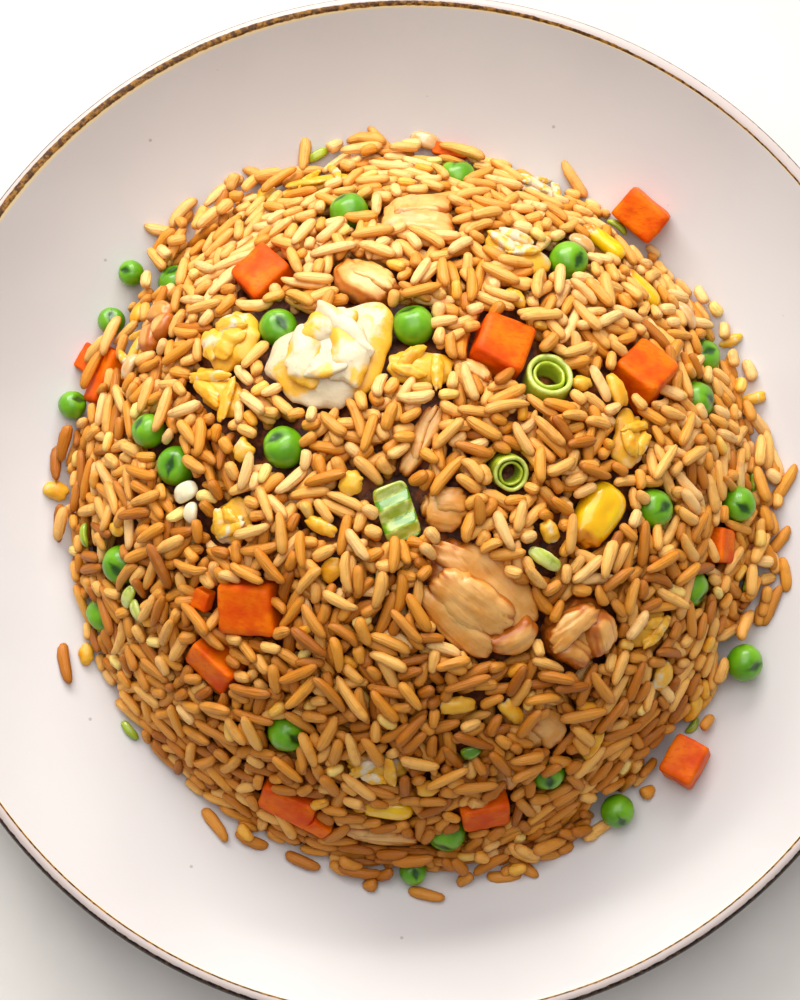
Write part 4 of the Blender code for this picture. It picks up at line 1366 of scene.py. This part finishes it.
# %% Strays and all the grains together
STRAY_GRAINS = (
    # bearing and distance from the middle
    *((204, 93), (272, 94), (287, 91), (238, 91), (4, 91.5), (355, 90), (107, 92), (95, 91.5), (64, 91)),
    *((115, 91), (132, 93), (8, 89.5), (350, 92.5), (345, 91), (300, 90.5)),
)
stray_bearing, stray_distance = np.array(STRAY_GRAINS, float).T
turn = np.radians(stray_bearing)
height = plate_top(stray_distance) + GRAIN_WIDTH * GRAIN_FLATNESS / 2 * 0.95
strays = np.zeros((len(turn), 8))
strays[:, :3] = np.stack([stray_distance * np.cos(turn), stray_distance * np.sin(turn), height], 1)
strays[:, 3] = (plate_top(stray_distance + 0.5) - plate_top(stray_distance - 0.5)) * 0.5
strays[:, 4] = rng.normal(math.pi / 3, 0.6, len(turn))
strays[:, 5] = rng.normal(GRAIN_LENGTH, 1.0, len(turn))
strays[:, 6] = GRAIN_WIDTH
strays[:, 7] = rng.normal(0, 0.5, len(turn))
dome_grains = np.concatenate(dropped)
plate_grains = np.concatenate([fallen, strays])
dome_middle, dome_set = grain_stances(dome, dome_grains)
plate_middle, plate_set = grain_stances(skirt, plate_grains)
middle = np.concatenate([dome_middle, plate_middle])
axes = np.concatenate([dome_set, plate_set])
length, width, bow = np.concatenate([dome_grains, plate_grains])[:, 5:].T
print(f"{len(length)} grains, {length.mean():.1f} mm long, from {length.min():.1f} to {length.max():.1f}")

# %% Rice pieces
skins, skin_mark, upper_side = grain_skins(middle, axes, length, width, bow, rng)
patches = noise(middle, 16.0, 51)
near_top = np.clip(1 - np.linalg.norm(middle[:, :2], axis=1) / 50, 0, 1)
# paleness is partly painted light: paler towards the back (+Y) and on the crown, darker at the front; the
# patches and the random part are the rice's own
paleness = 0.35 * patches + 0.9 * middle[:, 1] / FOOT_RADIUS + 0.8 * near_top
browning_and_painted_shade = rng.normal(0, 0.55, len(middle)) - paleness
tone = np.clip(0.5 + 0.3 * rng.normal(0, 1, len(middle)) + 0.15 * patches, 0, 1)
PALE_AND_GOLDEN = (0.28, 0.72)
CRUMB_LENGTH, CRUMB_SHARE = 5.6, 0.15
RICE_KINDS = (
    # name, and dark, middle and pale colour
    ("rice_pale", "#dc9230", "#f0b258", "#f8ca82"),
    ("rice_golden", "#cc7d18", "#e49a30", "#f2b961"),
    ("rice_browned", "#a05708", "#bf7214", "#da9233"),
    ("egg_crumbs", "#d9800f", "#f0ab2a", "#fbdc80"),
)
# the pale and browned kinds are partly lit and shaded copies of the rice's colours, as painted light
kinds = np.digitize(browning_and_painted_shade, np.quantile(browning_and_painted_shade, PALE_AND_GOLDEN))
kinds[(length < CRUMB_LENGTH) & (rng.random(len(length)) < CRUMB_SHARE)] = 3
pieces = []
for kind, (name, *colours) in enumerate(RICE_KINDS):
    chosen = kinds == kind
    # painted light: the upper side of each grain is paler and its sides darker
    lit_tone = tone[chosen, None] + 0.3 * (upper_side - 0.2)
    marks = {"tone": lit_tone.clip(0, 1), "skin": skin_mark[chosen]}
    material = cooked_rice(name + "_grains", *colours)
    piece = new_skins(name, skins[chosen], len(GRAIN_RINGS), GRAIN_SIDES, material, marks)
    pieces.append(piece)
    print(name, chosen.sum())
for piece in [core, *pieces]:
    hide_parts("rice_mound")

# %% [markdown]
# ## Floor, light and camera
# Food is lit from behind: a low window at the back makes the gloss on peas and grains, a large soft light
# overhead shows the form, and a weak even light from all round keeps the front from going black. The camera
# looks almost straight down.

# %% Floor
floor_material, tree, place_on_floor = new_material("pale_matt_paper", {"Roughness": 0.85})
fibre = add_node(tree, "TexNoise", {"Vector": place_on_floor, "Scale": per_metre(30), "Detail": 4.0})
paper = stained(tree, "#e9e6e1", "#e2deda", fibre, 0.3, 0.7)
tree.links.new(paper, tree.nodes["Principled BSDF"].inputs["Base Color"])
corners = np.array([[-1.5, -1.5, 0], [1.5, -1.5, 0], [1.5, 1.5, 0], [-1.5, 1.5, 0]])
floor_mesh = bpy.data.meshes.new("floor")
floor_mesh.from_pydata(corners.tolist(), [], [(0, 1, 2, 3)])
floor_mesh.materials.append(floor_material)
floor = bpy.data.objects.new("floor", floor_mesh)
bpy.context.scene.collection.objects.link(floor)


# %% Light
def soft_light(name, bearing, elevation, distance, size, watts, colour):
    """A rectangular light at a bearing and elevation from the dome, turned towards it."""
    lamp = bpy.data.lights.new(name, "AREA")
    lamp.shape = "RECTANGLE"
    lamp.size, lamp.size_y = size
    lamp.energy = watts
    lamp.color = linear(colour)[:3]
    holder = bpy.data.objects.new(name, lamp)
    flat = math.cos(math.radians(elevation))
    turn = math.radians(bearing)
    spot = np.array([flat * math.cos(turn), flat * math.sin(turn), math.sin(math.radians(elevation))])
    holder.location = spot * distance
    holder.rotation_euler = (math.radians(90 - elevation), 0, turn + math.pi / 2)
    bpy.context.scene.collection.objects.link(holder)


soft_light("window", 101, 31, 1.2, (1.2, 0.5), 18.5, "#fffaf3")
soft_light("ceiling", 95, 72, 1.5, (1.4, 1.4), 15, "#fffcfa")
world = bpy.data.worlds.new("room")
world.use_nodes = True
sky = world.node_tree.nodes["Background"]
sky.inputs["Color"].default_value = linear("#fffcfa")
sky.inputs["Strength"].default_value = 0.27
bpy.context.scene.world = world
bpy.context.scene.view_settings.view_transform = "Standard"

# %% Camera
AIM = np.array([-3.17, 2.54, 7.0])
CAMERA_ELEVATION, CAMERA_DISTANCE, LENS = 86.0, 800.0, 116.7
tilt = math.radians(CAMERA_ELEVATION)
camera = bpy.data.objects.new("camera", bpy.data.cameras.new("camera"))
camera.data.lens = LENS
camera.location = (AIM + CAMERA_DISTANCE * np.array([0, -math.cos(tilt), math.sin(tilt)])) * MM
camera.rotation_euler = (math.pi / 2 - tilt, 0, 0)
bpy.context.scene.collection.objects.link(camera)
bpy.context.scene.camera = camera

# %% Last update of the scene
bpy.context.view_layer.update()
